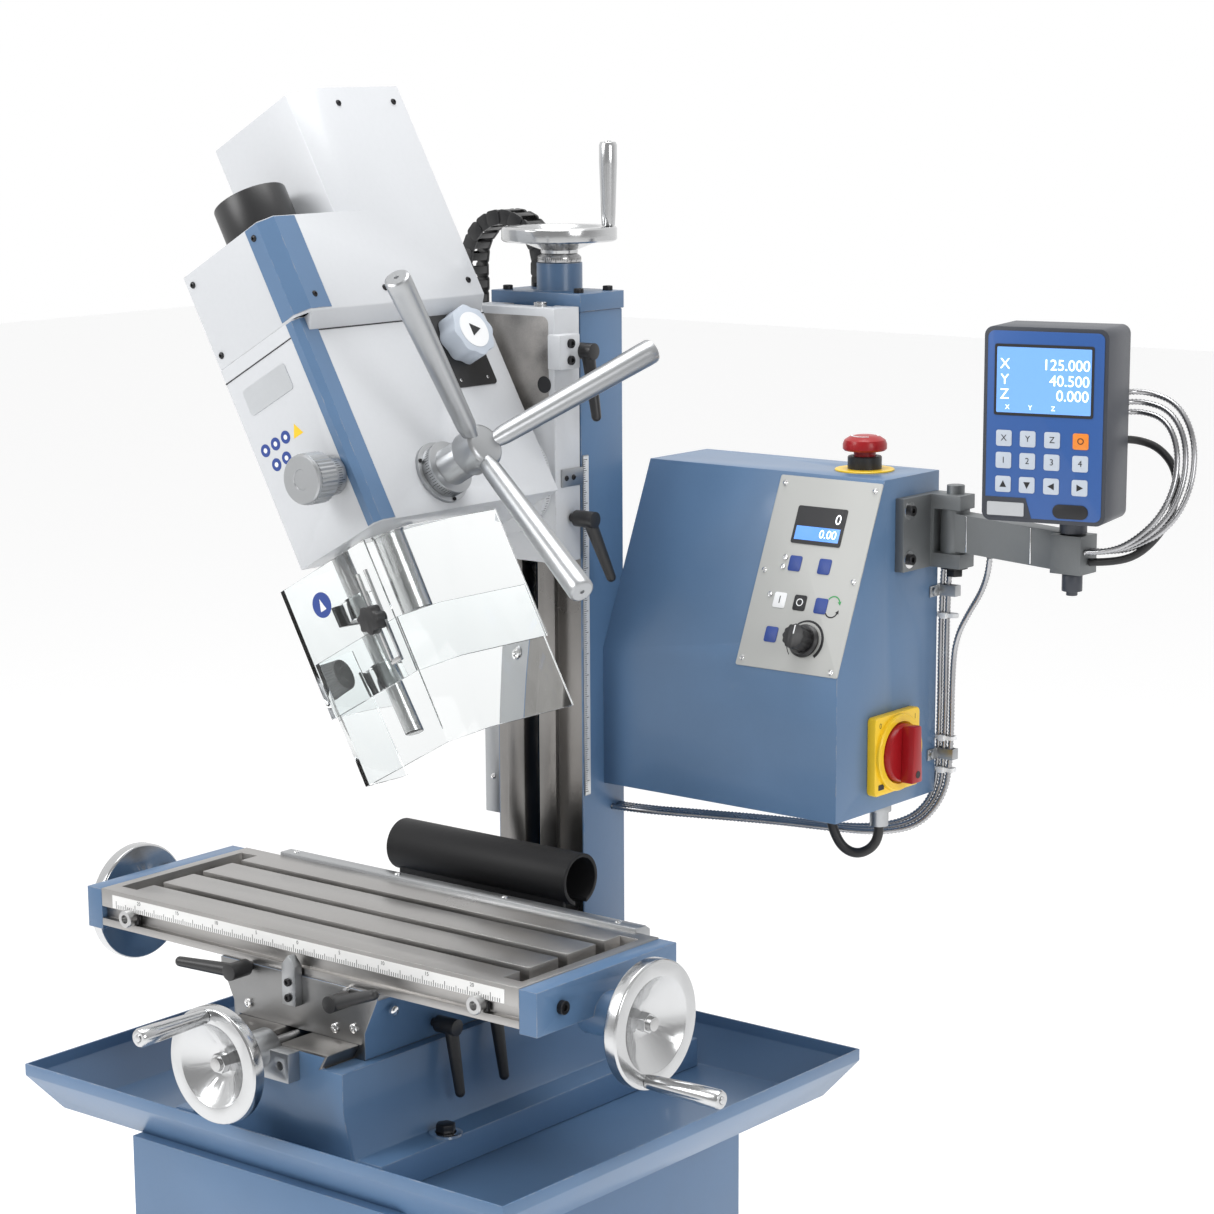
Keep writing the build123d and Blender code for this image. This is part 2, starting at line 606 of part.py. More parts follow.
def head_casting():
    """Cast head: outer shell, quill barrel, pinion bearings and the tilting flange."""
    half = HEAD_WIDTH / 2
    wall = HEAD_WALL
    body = bar_z(rect_with_corner(-half, half, HEAD_FRONT, HEAD_REAR, 5), HEAD_BOTTOM, HEAD_TOP)
    body -= block((-half + wall, half - wall), (HEAD_FRONT + wall, HEAD_REAR - wall),
                  (HEAD_BOTTOM + 12, HEAD_TOP + 1))
    barrel = rod((0, SPINDLE_Y, HEAD_BOTTOM), "+Z", QUILL_RADIUS + 8, 130)
    body += barrel
    body += block((-half + wall - 1, half - wall + 1), (PINION_Y - 15, PINION_Y + 18),
                  (HEAD_BOTTOM + 11, 18))
    body -= rod((0, SPINDLE_Y, HEAD_BOTTOM - 1), "+Z", QUILL_RADIUS + RUN_GAP, 190)
    body -= rod((-half - 1, PINION_Y, 0), "+X", PINION_RADIUS + 0.1, HEAD_WIDTH + 2)
    body -= rod((26, HEAD_FRONT - 1, 22), "+Y", 5, wall + 2)
    body -= rod((half - wall - 1, 48, 120), "+X", 6.3, wall + 2)
    flange_y = SLIDE_FRONT - WAY_GAP
    body += rod((0, HEAD_REAR - 1, 0), "+Y", FLANGE_RADIUS, flange_y - HEAD_REAR + 1)
    return body


def top_cover():
    """Sheet cover over the drive: low in front, tall behind, wider on the right."""
    left, right = -HEAD_WIDTH / 2, HEAD_WIDTH / 2 + COVER_OVERHANG
    wall = COVER_WALL
    low_top, tall_top = HEAD_TOP + COVER_LOW, HEAD_TOP + COVER_TALL
    step = HEAD_FRONT + COVER_STEP
    rear = HEAD_REAR - 3

    def shell(s, drop):
        low = bar_z(rect_with_corner(left + s, right - s, HEAD_FRONT + s, rear - s,
                                     COVER_CHAMFER), HEAD_TOP - drop, low_top - s)
        tall = bar_z([(left + s, step + s), (right - 12, step + s), (right - s, step + 32),
                      (right - s, rear - s), (left + s, rear - s)],
                     HEAD_TOP, tall_top - s)
        return low + tall

    body = shell(0, 0) - shell(wall, 1)
    body -= rod((0, SPINDLE_Y, low_top - 5), "+Z", 34, 10)
    half = HEAD_WIDTH / 2
    ledge = bar_y([(half, HEAD_TOP - 13), (right, HEAD_TOP), (half, HEAD_TOP)],
                  HEAD_FRONT + COVER_CHAMFER, rear)
    return body + ledge


def drawbar_cap():
    """Black cap over the top end of the spindle's drawbar."""
    z = HEAD_TOP + COVER_LOW - COVER_WALL
    outer = rod((0, SPINDLE_Y, z - 3), "+Z", 33.5, 52)
    return outer - rod((0, SPINDLE_Y, z - 4), "+Z", 30.5, 50)


def drive_motor():
    """Upright brushless motor under the tall cover, on a plate across the casting."""
    z = HEAD_TOP + 6
    plate = block((-HEAD_WIDTH / 2 + 3, HEAD_WIDTH / 2 - 3), (MOTOR_Y - 48, MOTOR_Y + 48),
                  (HEAD_TOP, z))
    plate -= rod((0, MOTOR_Y, HEAD_TOP - 1), "+Z", 9, 9)
    can = rod((0, MOTOR_Y, z), "+Z", MOTOR_RADIUS, 150) - rod((0, MOTOR_Y, z - 1), "+Z", 8, 40)
    return plate + can


BELT_Z = HEAD_TOP - 20


def motor_pulley():
    """Motor shaft with its toothed pulley."""
    shaft = rod((0, MOTOR_Y, BELT_Z - 12), "+Z", 7, 60)
    return shaft + rod((0, MOTOR_Y, BELT_Z - 9), "+Z", 20, 18)


def spindle_pulley():
    """Driven pulley and sleeve around the spindle's spline."""
    body = rod((0, SPINDLE_Y, BELT_Z - 14), "+Z", 32, 28)
    return body - rod((0, SPINDLE_Y, BELT_Z - 15), "+Z", SPINDLE_RADIUS - 3 + RUN_GAP, 32)


def drive_belt():
    """Toothed belt around both pulleys."""
    gap = 0.4
    span = MOTOR_Y - SPINDLE_Y

    def loop(extra):
        big, small = 32 + extra, 20 + extra
        lean = math.asin((big - small) / span)
        c, s = math.cos(lean), math.sin(lean)
        sides = [(c * big, SPINDLE_Y + s * big), (c * small, MOTOR_Y + s * small),
                 (-c * small, MOTOR_Y + s * small), (-c * big, SPINDLE_Y + s * big)]
        strip = bar_z(sides, BELT_Z - 7, BELT_Z + 7)
        return (strip + rod((0, SPINDLE_Y, BELT_Z - 7), "+Z", big, 14)
                + rod((0, MOTOR_Y, BELT_Z - 7), "+Z", small, 14))

    return loop(gap + 3) - loop(gap)


def guard_rod():
    """Steel rod under the head that carries the chip guard."""
    body = rod((-40, -98, HEAD_BOTTOM - 158), "+Z", 8, 158)
    return body


def quill():
    """Hollow quill that carries the spindle."""
    low = HEAD_BOTTOM - 6
    body = rod((0, SPINDLE_Y, low), "+Z", QUILL_RADIUS, QUILL_LENGTH)
    return body - rod((0, SPINDLE_Y, low - 1), "+Z", SPINDLE_RADIUS + RUN_GAP, QUILL_LENGTH + 2)


def spindle():
    """Spindle with its nose below the quill and its driven end above."""
    low = HEAD_BOTTOM - 6
    body = rod((0, SPINDLE_Y, low - 2), "+Z", SPINDLE_RADIUS, QUILL_LENGTH)
    body += rod((0, SPINDLE_Y, low + QUILL_LENGTH - 3), "+Z", SPINDLE_RADIUS - 3, 118)
    body += rod((0, SPINDLE_Y, low - NOSE_LENGTH), "+Z", NOSE_RADIUS, NOSE_LENGTH)
    return body - rod((0, SPINDLE_Y, low - NOSE_LENGTH - 1), "+Z", NOSE_BORE, NOSE_BORE_DEPTH + 1)


def feed_hub():
    """Quill feed hub: pinion shaft through the head, graduated flange and spoke boss."""
    half = HEAD_WIDTH / 2
    shaft = rod((-half, PINION_Y, 0), "+X", PINION_RADIUS, HEAD_WIDTH + 14)
    ring = rod((half + 4, PINION_Y, 0), "+X", 24, 10)
    boss = rod((half + 14, PINION_Y, 0), "+X", 17, SPOKE_RISE - 4)
    body = shaft + ring + boss
    for k in range(3):
        body -= spoke_place(k) * rod((0, 0, 6), "+Z", 6.02, 20)
    return body


def spoke_place(k):
    """Place of one spoke: local Z runs out along it, leaning away from the head."""
    return (Pos(HEAD_WIDTH / 2 + SPOKE_RISE, PINION_Y, 0) * Rot(SPOKE_START - 120 * k - 90, 0, 0)
            * Rot(0, SPOKE_LEAN, 0))


def feed_spokes():
    """Three tapered spokes screwed into the feed hub."""
    solids = []
    for k in range(3):
        end = SPOKE_LENGTH
        bar = turned([(0, 8), (6, 8), (6, 24), (9.5, end - 8), (9.5, end - 2), (8.5, end), (0, end)])
        solids.append(spoke_place(k) * bar)
    return group(*solids)


def feed_ring():
    """Fixed bearing ring with the depth graduation around the feed hub."""
    half = HEAD_WIDTH / 2
    ring = rod((half, PINION_Y, 0), "+X", 28, 3.6)
    return ring - rod((half - 1, PINION_Y, 0), "+X", PINION_RADIUS + 0.1, 6)


def fine_feed_knob():
    """Knurled knob on the front of the head."""
    face = HEAD_FRONT - 2.5
    body = rod((26, face, 22), "-Y", 17, 16) + rod((26, face - 16, 22), "-Y", 22, 22)
    return body + rod((26, face - 1, 22), "+Y", 4.9, 20)


def selector_knob():
    """Speed range knob on the right side of the head."""
    face = HEAD_WIDTH / 2 + 1.5
    body = rod((face, 48, 120), "+X", 25, 21)
    return body + rod((face + 1, 48, 120), "-X", 6.2, 20)


GUARD_ROD = (-40.0, -98.0)
GUARD_SHEET = 3.0


def guard_outline(inset, left_end):
    """Plan outline of the guard's three walls, open towards the column."""
    y0 = -168.0 + inset
    x0, x1 = -58.0 + inset, 75.0 - inset
    return [(x0, left_end), (x0, y0), (54.0 - 0.4 * inset, y0), (x1, -131.0 + 0.4 * inset),
            (x1, -20.0)]


def guard_wall(inset, left_end, z0, z1):
    """Thin bent wall that follows the guard's outline."""
    outer = guard_outline(inset, left_end)
    inner = guard_outline(inset + GUARD_SHEET, left_end)
    return bar_z(outer + inner[::-1], z0, z1)


def guard_upper():
    """Clear upper guard with its top plate and the arms that hold it on the rod."""
    top, low = HEAD_BOTTOM - 14, HEAD_BOTTOM - 133
    body = guard_wall(0, GUARD_ROD[1] + 9, low, top)
    x, y = GUARD_ROD
    for z in (top - 42, top - 100):
        arm = block((-56, x + 8), (y - 9, y + 9), (z, z + 16))
        arm += rod((x, y, z), "+Z", 14, 16)
        arm -= rod((x, y, z - 1), "+Z", 8 + 0.3, 18)
        body += arm
    return body


def guard_lower():
    """Clear lower guard that slides up inside the upper one."""
    return guard_wall(GUARD_SHEET + 0.6, GUARD_ROD[1] - 16, HEAD_BOTTOM - 197, HEAD_BOTTOM - 84)


# ---- control box ---------------------------------------------------------
def box_profile(s):
    """Side outline of the control box, shrunk by s."""
    fold_z = BOX_BOTTOM + BOX_FOLD
    return [(BOX_FRONT + s, BOX_BOTTOM + s), (BOX_REAR - s, BOX_BOTTOM + s),
            (BOX_REAR - s, BOX_TOP - s), (BOX_FRONT + BOX_SLOPE + s * 0.7, BOX_TOP - s),
            (BOX_FRONT + s, fold_z + s * 0.2)]


def control_box():
    """Sheet box with a sloped front, bolted to the column's right side."""
    body = bar_x(box_profile(0), BOX_LEFT, BOX_RIGHT)
    body -= bar_x(box_profile(BOX_WALL), BOX_LEFT + BOX_WALL, BOX_RIGHT - BOX_WALL)
    body -= rod((ESTOP[0], ESTOP[1], BOX_TOP - 5), "+Z", 11, 10)
    body -= rod((BOX_RIGHT - 5, SWITCH[1], SWITCH[2]), "+X", 8, 10)
    body -= on_slope(KNOB_U, KNOB_V, 0) * rod((0, 0, -6), "+Z", 4, 12)
    return body


ESTOP = (BOX_RIGHT - 54.0, BOX_FRONT + 120.0)
SWITCH = (BOX_RIGHT, BOX_FRONT + 84.0, BOX_BOTTOM + 52.0)
KNOB_U = BOX_RIGHT - 42.0
KNOB_V = 31.0


def on_slope(x, along, out):
    """Place on the sloped front: x across, distance up the slope, distance out of it."""
    fold = Pos(x, BOX_FRONT, BOX_BOTTOM + BOX_FOLD)
    return fold * Rot(90 - SLOPE_ANGLE, 0, 0) * Pos(0, along, out)


def speed_knob():
    """Speed setting knob on the panel."""
    body = rod((0, 0, 2.6), "+Z", 15, 4) + rod((0, 0, 6.5), "+Z", 11.5, 15)
    body += rod((0, 0, -10), "+Z", 3.9, 14)
    return on_slope(KNOB_U, KNOB_V, 0) * body


def switch_plates():
    """Yellow plate of the main switch and the collar of the emergency stop."""
    x, y, z = SWITCH
    plate = block((x, x + 9), (y - 38, y + 38), (z - 37, z + 37))
    plate -= rod((x - 1, y, z), "+X", 8, 12)
    collar = rod((*ESTOP, BOX_TOP), "+Z", 27, 1.5) + rod((*ESTOP, BOX_TOP), "+Z", 15.5, 13)
    collar -= rod((*ESTOP, BOX_TOP - 1), "+Z", 10.5, 20)
    return group(plate, collar)


def estop_button():
    """Mushroom button of the emergency stop."""
    body = rod((*ESTOP, BOX_TOP + 18), "+Z", 20, 14) + rod((*ESTOP, BOX_TOP - 8), "+Z", 10, 27)
    return body


def switch_knob():
    """Rotary handle of the main switch."""
    x, y, z = SWITCH
    body = rod((x + 9.5, y, z), "+X", 27, 8)
    body += block((x + 17, x + 31), (y - 8, y + 8), (z - 26, z + 26))
    return body + rod((x - 10, y, z), "+X", 7.6, 20)


# ---- read-out on its arm ------------------------------------
ARM_Z = BOX_BOTTOM + 247.0
ARM_PIVOT = (BOX_RIGHT + 26.0, BOX_FRONT + 147.0)
DRO_PIVOT = (BOX_RIGHT + 152.0, BOX_FRONT + 138.0)


def dro_bracket():
    """Forked cast bracket on the box's right side."""
    x, y = ARM_PIVOT
    plate = block((BOX_RIGHT, BOX_RIGHT + 9), (y - 58, y + 10), (ARM_Z - 33, ARM_Z + 33))
    ears = block((BOX_RIGHT + 9, x + 14), (y - 14, y + 10), (ARM_Z - 33, ARM_Z + 33))
    ears -= block((BOX_RIGHT + 12, x + 20), (y - 20, y + 20), (ARM_Z - 20, ARM_Z + 20))
    bolt = rod((x, y, ARM_Z - 32), "+Z", 4.5, 70) + rod((x, y, ARM_Z + 33), "+Z", 8, 8)
    return plate + ears + bolt


def dro_arm():
    """Square arm from the bracket to the read-out's pivot, a little lower at its far end."""
    x, y = ARM_PIVOT
    px, py = DRO_PIVOT
    low, high = ARM_Z - ARM_HALF, ARM_Z + ARM_HALF
    knuckle = rod((x, y, ARM_Z - 19.7), "+Z", 13, 39.4)
    bar = bar_y([(x, low), (x, high), (px, high - ARM_DROP), (px, low - ARM_DROP)], py - 2, y + 9)
    end = block((px - 15, px + 15), (py - 13, py + 15), (low - ARM_DROP, high - ARM_DROP))
    body = knuckle + bar + end
    body -= rod((x, y, ARM_Z - 30), "+Z", 4.5 + RUN_GAP, 60)
    body -= rod((px, py, ARM_Z - 40), "+Z", 5 + RUN_GAP, 70)
    return body


def dro_housing():
    """Read-out housing on its pivot bolt, turned a little towards the operator."""
    w, h, d = DRO_WIDTH, DRO_HEIGHT, DRO_DEPTH
    low = ARM_HALF + 7.5
    case = fillet(Box(w, d, h).edges().filter_by(Axis.Y), 8)
    case = Pos(DRO_SHIFT, d / 2 - 50, low + h / 2) * case
    under = -ARM_HALF - ARM_DROP
    gap = 1.2
    foot = rod((0, 0, ARM_HALF - ARM_DROP + gap), "+Z", 12, low - ARM_HALF + ARM_DROP)
    bolt = rod((0, 0, under - 20), "+Z", 5, low - under + 22)
    nut = rod((0, 0, under - 16), "+Z", 9, 15.5)
    return Pos(*DRO_PIVOT, ARM_Z) * Rot(0, 0, DRO_TURN) * (case + foot + bolt + nut)


# ---- cables ---------------------------------------------------------
def tube(points, radius):
    """Plain tube along straight runs joined by the largest arcs that fit."""
    vectors = [Vector(*p) for p in points]
    radii = []
    for a, b, c in zip(vectors, vectors[1:], vectors[2:]):
        into, out = b - a, c - b
        turn = math.radians(into.get_angle(out))
        radii.append(0.45 * min(into.length, out.length) / math.tan(turn / 2))
    path = FilletPolyline(*points, radius=radii)
    start = Plane(origin=points[0], z_dir=path % 0)
    print("cord radii", [round(r, 1) for r in radii], "length", round(path.length, 1))
    return sweep(start * Circle(radius), path=path)


# Upper ends of the three conduits, from the arm to the box's rear edge.
CONDUIT_TOPS = [
    [(384, 331.4, 1264), (360, 341, 1267), (336, 342.5, 1262), (319, 340, 1243), (314.5, 338, 1215)],
    [(386, 331.4, 1256), (364, 337.5, 1259), (341, 340, 1255), (325.5, 339.5, 1238), (321, 338, 1212)],
    [(376, 320, 1240), (374.5, 321, 1228), (364, 327, 1207), (347, 334, 1186), (333, 337.8, 1164),
     (327.5, 338, 1138)],
]
# The rest of the conduits: a point of the first one, and the step to the next beside it.
CONDUIT_RUN = [
    ((314.5, 338, 1040), (6.5, 0, 0)), ((311, 334, 1010), (6.2, -1.5, -1)),
    ((299, 320, 990), (5.0, -3.8, -3)), ((275, 300, 982), (3.5, -5.6, -1.5)),
    ((240, 282, 981), (2.8, -6.2, 0)), ((195, 262, 984), (2.6, -6.3, 0)),
    ((150, 240, 986), (2.6, -6.3, 0)), ((110, 218, 988), (3, -6.2, 0)),
    ((82, 200, 990), (1, -6.2, 0)), ((52.4, 197, 990), (0, -6.2, 0)),
]
SUPPLY_LOOP = [(300, 262, 994.5), (300, 262, 984), (294, 259, 972), (282, 253, 966),
               (270, 247, 972), (262, 244, 988), (260, 243, 1001), (260, 242.5, 1012.5)]
# The read-out's leads: a point of the outer one, and the step to the next inside it.
LEAD_RUN = [
    ((488.9, 326.2, 1392), (-1, 0, -9)), ((489.5, 347, 1393), (-1, 0, -9)),
    ((507, 362, 1393), (-2, -2, -8.5)), ((535, 364, 1384), (-4, -4, -6.5)),
    ((556, 356, 1357), (-6, -4, -3)), ((561, 346, 1320), (-6.5, -3, 0)),
    ((551, 336, 1287), (-5, -4, 2)), ((528, 326, 1266), (-2, -6, 2)),
    ((504, 319, 1257), (0, -6.5, 1)), ((481.6, 317, 1257), (0, -6.5, 0)),
]
BLACK_LEAD = [(488, 326.5, 1352), (488.5, 345, 1352), (502, 357, 1351), (520, 361, 1345),
              (538, 357, 1329), (545, 348, 1305), (540, 338, 1280), (526, 323, 1258),
              (505, 316, 1249), (481.6, 312, 1247.5)]


def beside(run, lane):
    """The route of one cord of a bundle."""
    return [tuple(p + lane * step for p, step in zip(point, steps)) for point, steps in run]


# Box width, rear face and underside that the routes above are drawn for.
DRAWN_BOX = (262.0, 332.0, 1015.0)


def follow(points):
    """Fit a route to the box's own sizes: stretched below the box, shifted beside it."""
    width, rear, bottom = DRAWN_BOX
    fitted = []
    for x, y, z in points:
        beyond = max(0.0, x - BOX_LEFT - width)
        inside = (x - BOX_LEFT - beyond) * BOX_WIDTH / width
        fitted.append((BOX_LEFT + inside + beyond, y + BOX_REAR - rear, z + BOX_BOTTOM - bottom))
    return fitted


def box_cables():
    """Three armoured conduits down the box and under it, and the supply cable's loop."""
    solids = [tube(follow(top + beside(CONDUIT_RUN, lane)), CONDUIT_RADIUS)
              for lane, top in enumerate(CONDUIT_TOPS)]
    return group(*solids, tube(follow(SUPPLY_LOOP), CABLE_RADIUS))


def dro_cables():
    """Three armoured leads and a black one from the back of the read-out into the arm."""
    solids = [tube(follow(beside(LEAD_RUN, lane)), LEAD_RADIUS) for lane in range(3)]
    return group(*solids, tube(follow(BLACK_LEAD), LEAD_RADIUS + 0.7))


def cable_clips():
    """Two sheet clips that hold the conduits on the box's edge, and the glands below it."""
    solids = []
    for z in (BOX_TOP - 110, BOX_BOTTOM + 36):
        x, y = BOX_RIGHT, BOX_REAR
        band = block((x - 4.2, x + 18.2), (y + 1.4, y + 10.8), (z - 5, z + 5))
        band -= block((x - 3.0, x + 17.0), (y + 2.5, y + 9.7), (z - 6, z + 6))
        tab = block((x, x + 1.6), (y - 14, y + 2), (z - 5, z + 5))
        solids.append(band + tab + rod((x + 1.6, y - 8, z), "+X", 4, 2.5))
    loop = follow(SUPPLY_LOOP)
    gx, gy, gz = loop[0]
    gland = rod((gx, gy, BOX_BOTTOM), "-Z", 11, 7)
    gland += rod((gx, gy, BOX_BOTTOM), "-Z", 8.5, BOX_BOTTOM - gz)
    ex, ey, _ = loop[-1]
    return group(*solids, gland, rod((ex, ey, BOX_BOTTOM), "-Z", 8, 2))


def energy_chain():
    """Cable chain between the vertical slide and the column's back, as one plain band."""
    y = COLUMN_FRONT + COLUMN_DEPTH + 5
    top = CAP_TOP + 70
    outer = rod((-98, y, top - 52), "+Y", 52, 25) - rod((-98, y - 1, top - 52), "+Y", 36, 27)
    outer -= block((-160, -40), (y - 1, y + 30), (top - 110, top - 52))
    left = block((-150, -134), (y, y + 25), (SLIDE_TOP - 80, top - 52))
    right = block((-62, -46), (y, y + 25), (COLUMN_TOP - 190, top - 52))
    return outer + left + right


for name, shape in {
    "stand_cabinet": stand_cabinet(), "stand_door": stand_door(), "chip_tray": chip_tray(),
    "base_casting": base_casting(), "base_bolts": base_bolts(),
    "y_screw_bracket": y_screw_bracket(), "saddle": saddle(), "feed_nuts": feed_nuts(),
    "way_apron": way_apron(), "table": table(), "table_end_caps": table_end_caps(),
    "table_scale_cover": table_scale_cover(),
    "x_leadscrew": x_leadscrew(), "x_handwheels": x_handwheels(), "x_grip": x_grip(),
    "y_leadscrew": y_leadscrew(), "y_handwheel": y_handwheel(), "y_grip": y_grip(),
    "z_leadscrew": z_leadscrew(), "z_handwheel": z_handwheel(), "z_grip": z_grip(),
    "column": column(), "column_cap": column_cap(), "column_scales": column_scales(),
    "z_slide": z_slide(), "control_box": control_box(), "speed_knob": speed_knob(),
    "switch_plates": switch_plates(),
    "estop_button": estop_button(), "switch_knob": switch_knob(), "dro_bracket": dro_bracket(),
    "dro_arm": dro_arm(), "dro_housing": dro_housing(), "energy_chain": energy_chain(),
    "box_cables": box_cables(), "dro_cables": dro_cables(), "cable_clips": cable_clips(),
}.items():
    keep(name, shape)

for name, shape in {
    "head_casting": head_casting(), "top_cover": top_cover(), "drawbar_cap": drawbar_cap(),
    "drive_motor": drive_motor(), "motor_pulley": motor_pulley(),
    "spindle_pulley": spindle_pulley(), "drive_belt": drive_belt(), "guard_rod": guard_rod(),
    "quill": quill(), "spindle": spindle(), "feed_ring": feed_ring(), "feed_hub": feed_hub(),
    "feed_spokes": feed_spokes(), "fine_feed_knob": fine_feed_knob(),
    "selector_knob": selector_knob(), "guard_upper": guard_upper(),
    "guard_lower": guard_lower(),
}.items():
    keep(name, tilted(shape))

LEVERS = {
    "x_lock_lever_left": (aim((-56, SADDLE_FRONT, TABLE_BOTTOM - 2), "-Y"), 180),
    "x_lock_lever_right": (aim((64, SADDLE_FRONT, TABLE_BOTTOM - 8), "-Y"), 20),
    "y_lock_lever_front": (aim((SADDLE_BOTTOM_WIDTH / 2, -101, SHOULDER_Z + 13), "+X"), 0),
    "y_lock_lever_rear": (aim((SADDLE_BOTTOM_WIDTH / 2, -42, SHOULDER_Z + 13), "+X"), 0),
    "z_lock_lever_upper": (aim((COLUMN_WIDTH / 2, SLIDE_FRONT + 22, SLIDE_TOP - 38), "+X"), 0),
    "z_lock_lever_lower": (aim((COLUMN_WIDTH / 2, SLIDE_FRONT + 22, SLIDE_BOTTOM + 40), "+X"), 20),
}
for name, (place, swing) in LEVERS.items():
    keep(name, clamp_lever(place, swing))

os.makedirs("parts", exist_ok=True)
for name, shape in OUT.items():
    export_step(shape, f"parts/{name}.step")
print(len(OUT), "nodes")
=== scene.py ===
import json
import logging
import math
from dataclasses import dataclass
from enum import Enum

import bmesh
import bpy
from mathutils import Matrix, Vector

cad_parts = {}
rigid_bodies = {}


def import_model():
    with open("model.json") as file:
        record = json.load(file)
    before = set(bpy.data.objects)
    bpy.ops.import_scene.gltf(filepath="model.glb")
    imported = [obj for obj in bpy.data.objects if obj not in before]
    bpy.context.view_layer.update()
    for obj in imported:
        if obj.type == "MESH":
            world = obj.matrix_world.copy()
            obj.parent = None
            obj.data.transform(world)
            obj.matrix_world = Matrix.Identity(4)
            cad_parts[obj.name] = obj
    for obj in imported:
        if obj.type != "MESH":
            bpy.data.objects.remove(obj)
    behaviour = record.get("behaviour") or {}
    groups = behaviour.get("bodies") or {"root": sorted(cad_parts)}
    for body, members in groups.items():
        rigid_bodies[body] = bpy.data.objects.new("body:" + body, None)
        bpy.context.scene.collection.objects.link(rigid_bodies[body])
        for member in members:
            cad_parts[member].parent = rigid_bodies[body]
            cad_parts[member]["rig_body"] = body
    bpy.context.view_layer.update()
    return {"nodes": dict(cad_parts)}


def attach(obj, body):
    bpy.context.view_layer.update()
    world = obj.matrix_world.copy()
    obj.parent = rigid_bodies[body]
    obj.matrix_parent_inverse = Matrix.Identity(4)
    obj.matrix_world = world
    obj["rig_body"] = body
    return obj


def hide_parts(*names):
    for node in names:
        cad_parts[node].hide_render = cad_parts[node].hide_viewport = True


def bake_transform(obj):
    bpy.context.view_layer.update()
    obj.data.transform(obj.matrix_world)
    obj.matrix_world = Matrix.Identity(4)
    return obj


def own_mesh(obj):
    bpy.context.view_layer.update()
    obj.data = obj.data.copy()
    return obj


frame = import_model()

logging.basicConfig(level=logging.INFO, format="%(message)s")
LOG = logging.getLogger("mill")
MM = 0.001
CAP_HEIGHT = 0.72  # of a letter, as a share of its text size
Point = tuple[float, float, float]
Outline = list[tuple[float, float]]
Mesh = bmesh.types.BMesh
Span = tuple[float, float]
Node = bpy.types.Node


class Axis(Enum):
    """Directions a turned or drilled piece can face."""

    RIGHT = (1, 0, 0)
    LEFT = (-1, 0, 0)
    BACK = (0, 1, 0)
    FRONT = (0, -1, 0)
    UP = (0, 0, 1)
    DOWN = (0, 0, -1)


# ---- places (millimetres, machine frame) -----------------------------------------------------
def aim(point: Point, axis: Axis) -> Matrix:
    """Place whose local +Z points along an axis.

    Args:
        point: Origin of the place.
        axis: Direction of local +Z.

    Returns:
        The placing matrix.
    """
    turn = Vector((0, 0, 1)).rotation_difference(Vector(axis.value)).to_matrix().to_4x4()
    if axis is Axis.DOWN:
        turn = Matrix.Rotation(math.pi, 4, "X")
    return Matrix.Translation(point) @ turn


def at(x: float, y: float, z: float) -> Matrix:
    """Plain shift to a point."""
    return Matrix.Translation((x, y, z))


BASE_Z, TABLE_Y = 740.0, -93.0
PIVOT_Z = 1304.0
COLUMN_FRONT, CAP_TOP = 142.0, 1472.0
BOX_LEFT, BOX_RIGHT, BOX_FRONT = 52.0, 314.0, 172.0
BOX_FOLD, BOX_TOP = 1144.0, 1313.0
SLOPE_RUN, SLOPE_RISE = 72.0, BOX_TOP - BOX_FOLD
TILT = 29.0
READOUT_AT, READOUT_TURN = (466.0, 310.0, 1262.0), 12.0
HEAD = at(0, 0, PIVOT_Z) @ Matrix.Rotation(math.radians(-TILT), 4, "Y")
SLOPE = math.atan2(SLOPE_RUN, SLOPE_RISE)
PANEL = at(BOX_LEFT, BOX_FRONT, BOX_FOLD) @ Matrix.Rotation(math.pi / 2 - SLOPE, 4, "X")
DRO = at(*READOUT_AT) @ Matrix.Rotation(math.radians(READOUT_TURN), 4, "Z")


# ---- finishes ----------------------------------------------------------------------------------
class Graph:
    """Thin wrapper round one node tree."""

    def __init__(self, tree: bpy.types.NodeTree) -> None:
        """Keeps the tree."""
        self.tree = tree

    def node(self, kind: str, **values: object) -> bpy.types.Node:
        """Adds a node and sets its attributes.

        Args:
            kind: Type name of the node.
            values: Attributes to set on it.

        Returns:
            The new node.
        """
        made = self.tree.nodes.new(kind)
        for key, value in values.items():
            setattr(made, key, value)
        return made

    def link(self, a: bpy.types.NodeSocket, b: bpy.types.NodeSocket) -> None:
        """Joins two sockets."""
        self.tree.links.new(a, b)

    def math(self, operation: str, a: object, b: object) -> bpy.types.NodeSocket:
        """Adds a math node over two sockets or numbers.

        Args:
            operation: Name of the operation.
            a: First value.
            b: Second value.

        Returns:
            The node's output socket.
        """
        made = self.node("ShaderNodeMath", operation=operation)
        for socket, value in zip(made.inputs, (a, b)):
            if isinstance(value, bpy.types.NodeSocket):
                self.link(value, socket)
            else:
                socket.default_value = value
        return made.outputs[0]


def group_tree(name: str, inputs: list[tuple], outputs: list[tuple]) -> tuple[Graph, Node, Node]:
    """Makes an empty node group with its sockets.

    Args:
        name: Group name.
        inputs: Pairs of socket name and socket type, with a default value as a third item.
        outputs: Pairs of socket name and socket type.

    Returns:
        The graph, its input node and its output node.
    """
    tree = bpy.data.node_groups.new(name, "ShaderNodeTree")
    for label, kind, *value in inputs:
        socket = tree.interface.new_socket(label, in_out="INPUT", socket_type=kind)
        if value:
            socket.default_value = value[0]
    for label, kind in outputs:
        tree.interface.new_socket(label, in_out="OUTPUT", socket_type=kind)
    graph = Graph(tree)
    return graph, graph.node("NodeGroupInput"), graph.node("NodeGroupOutput")


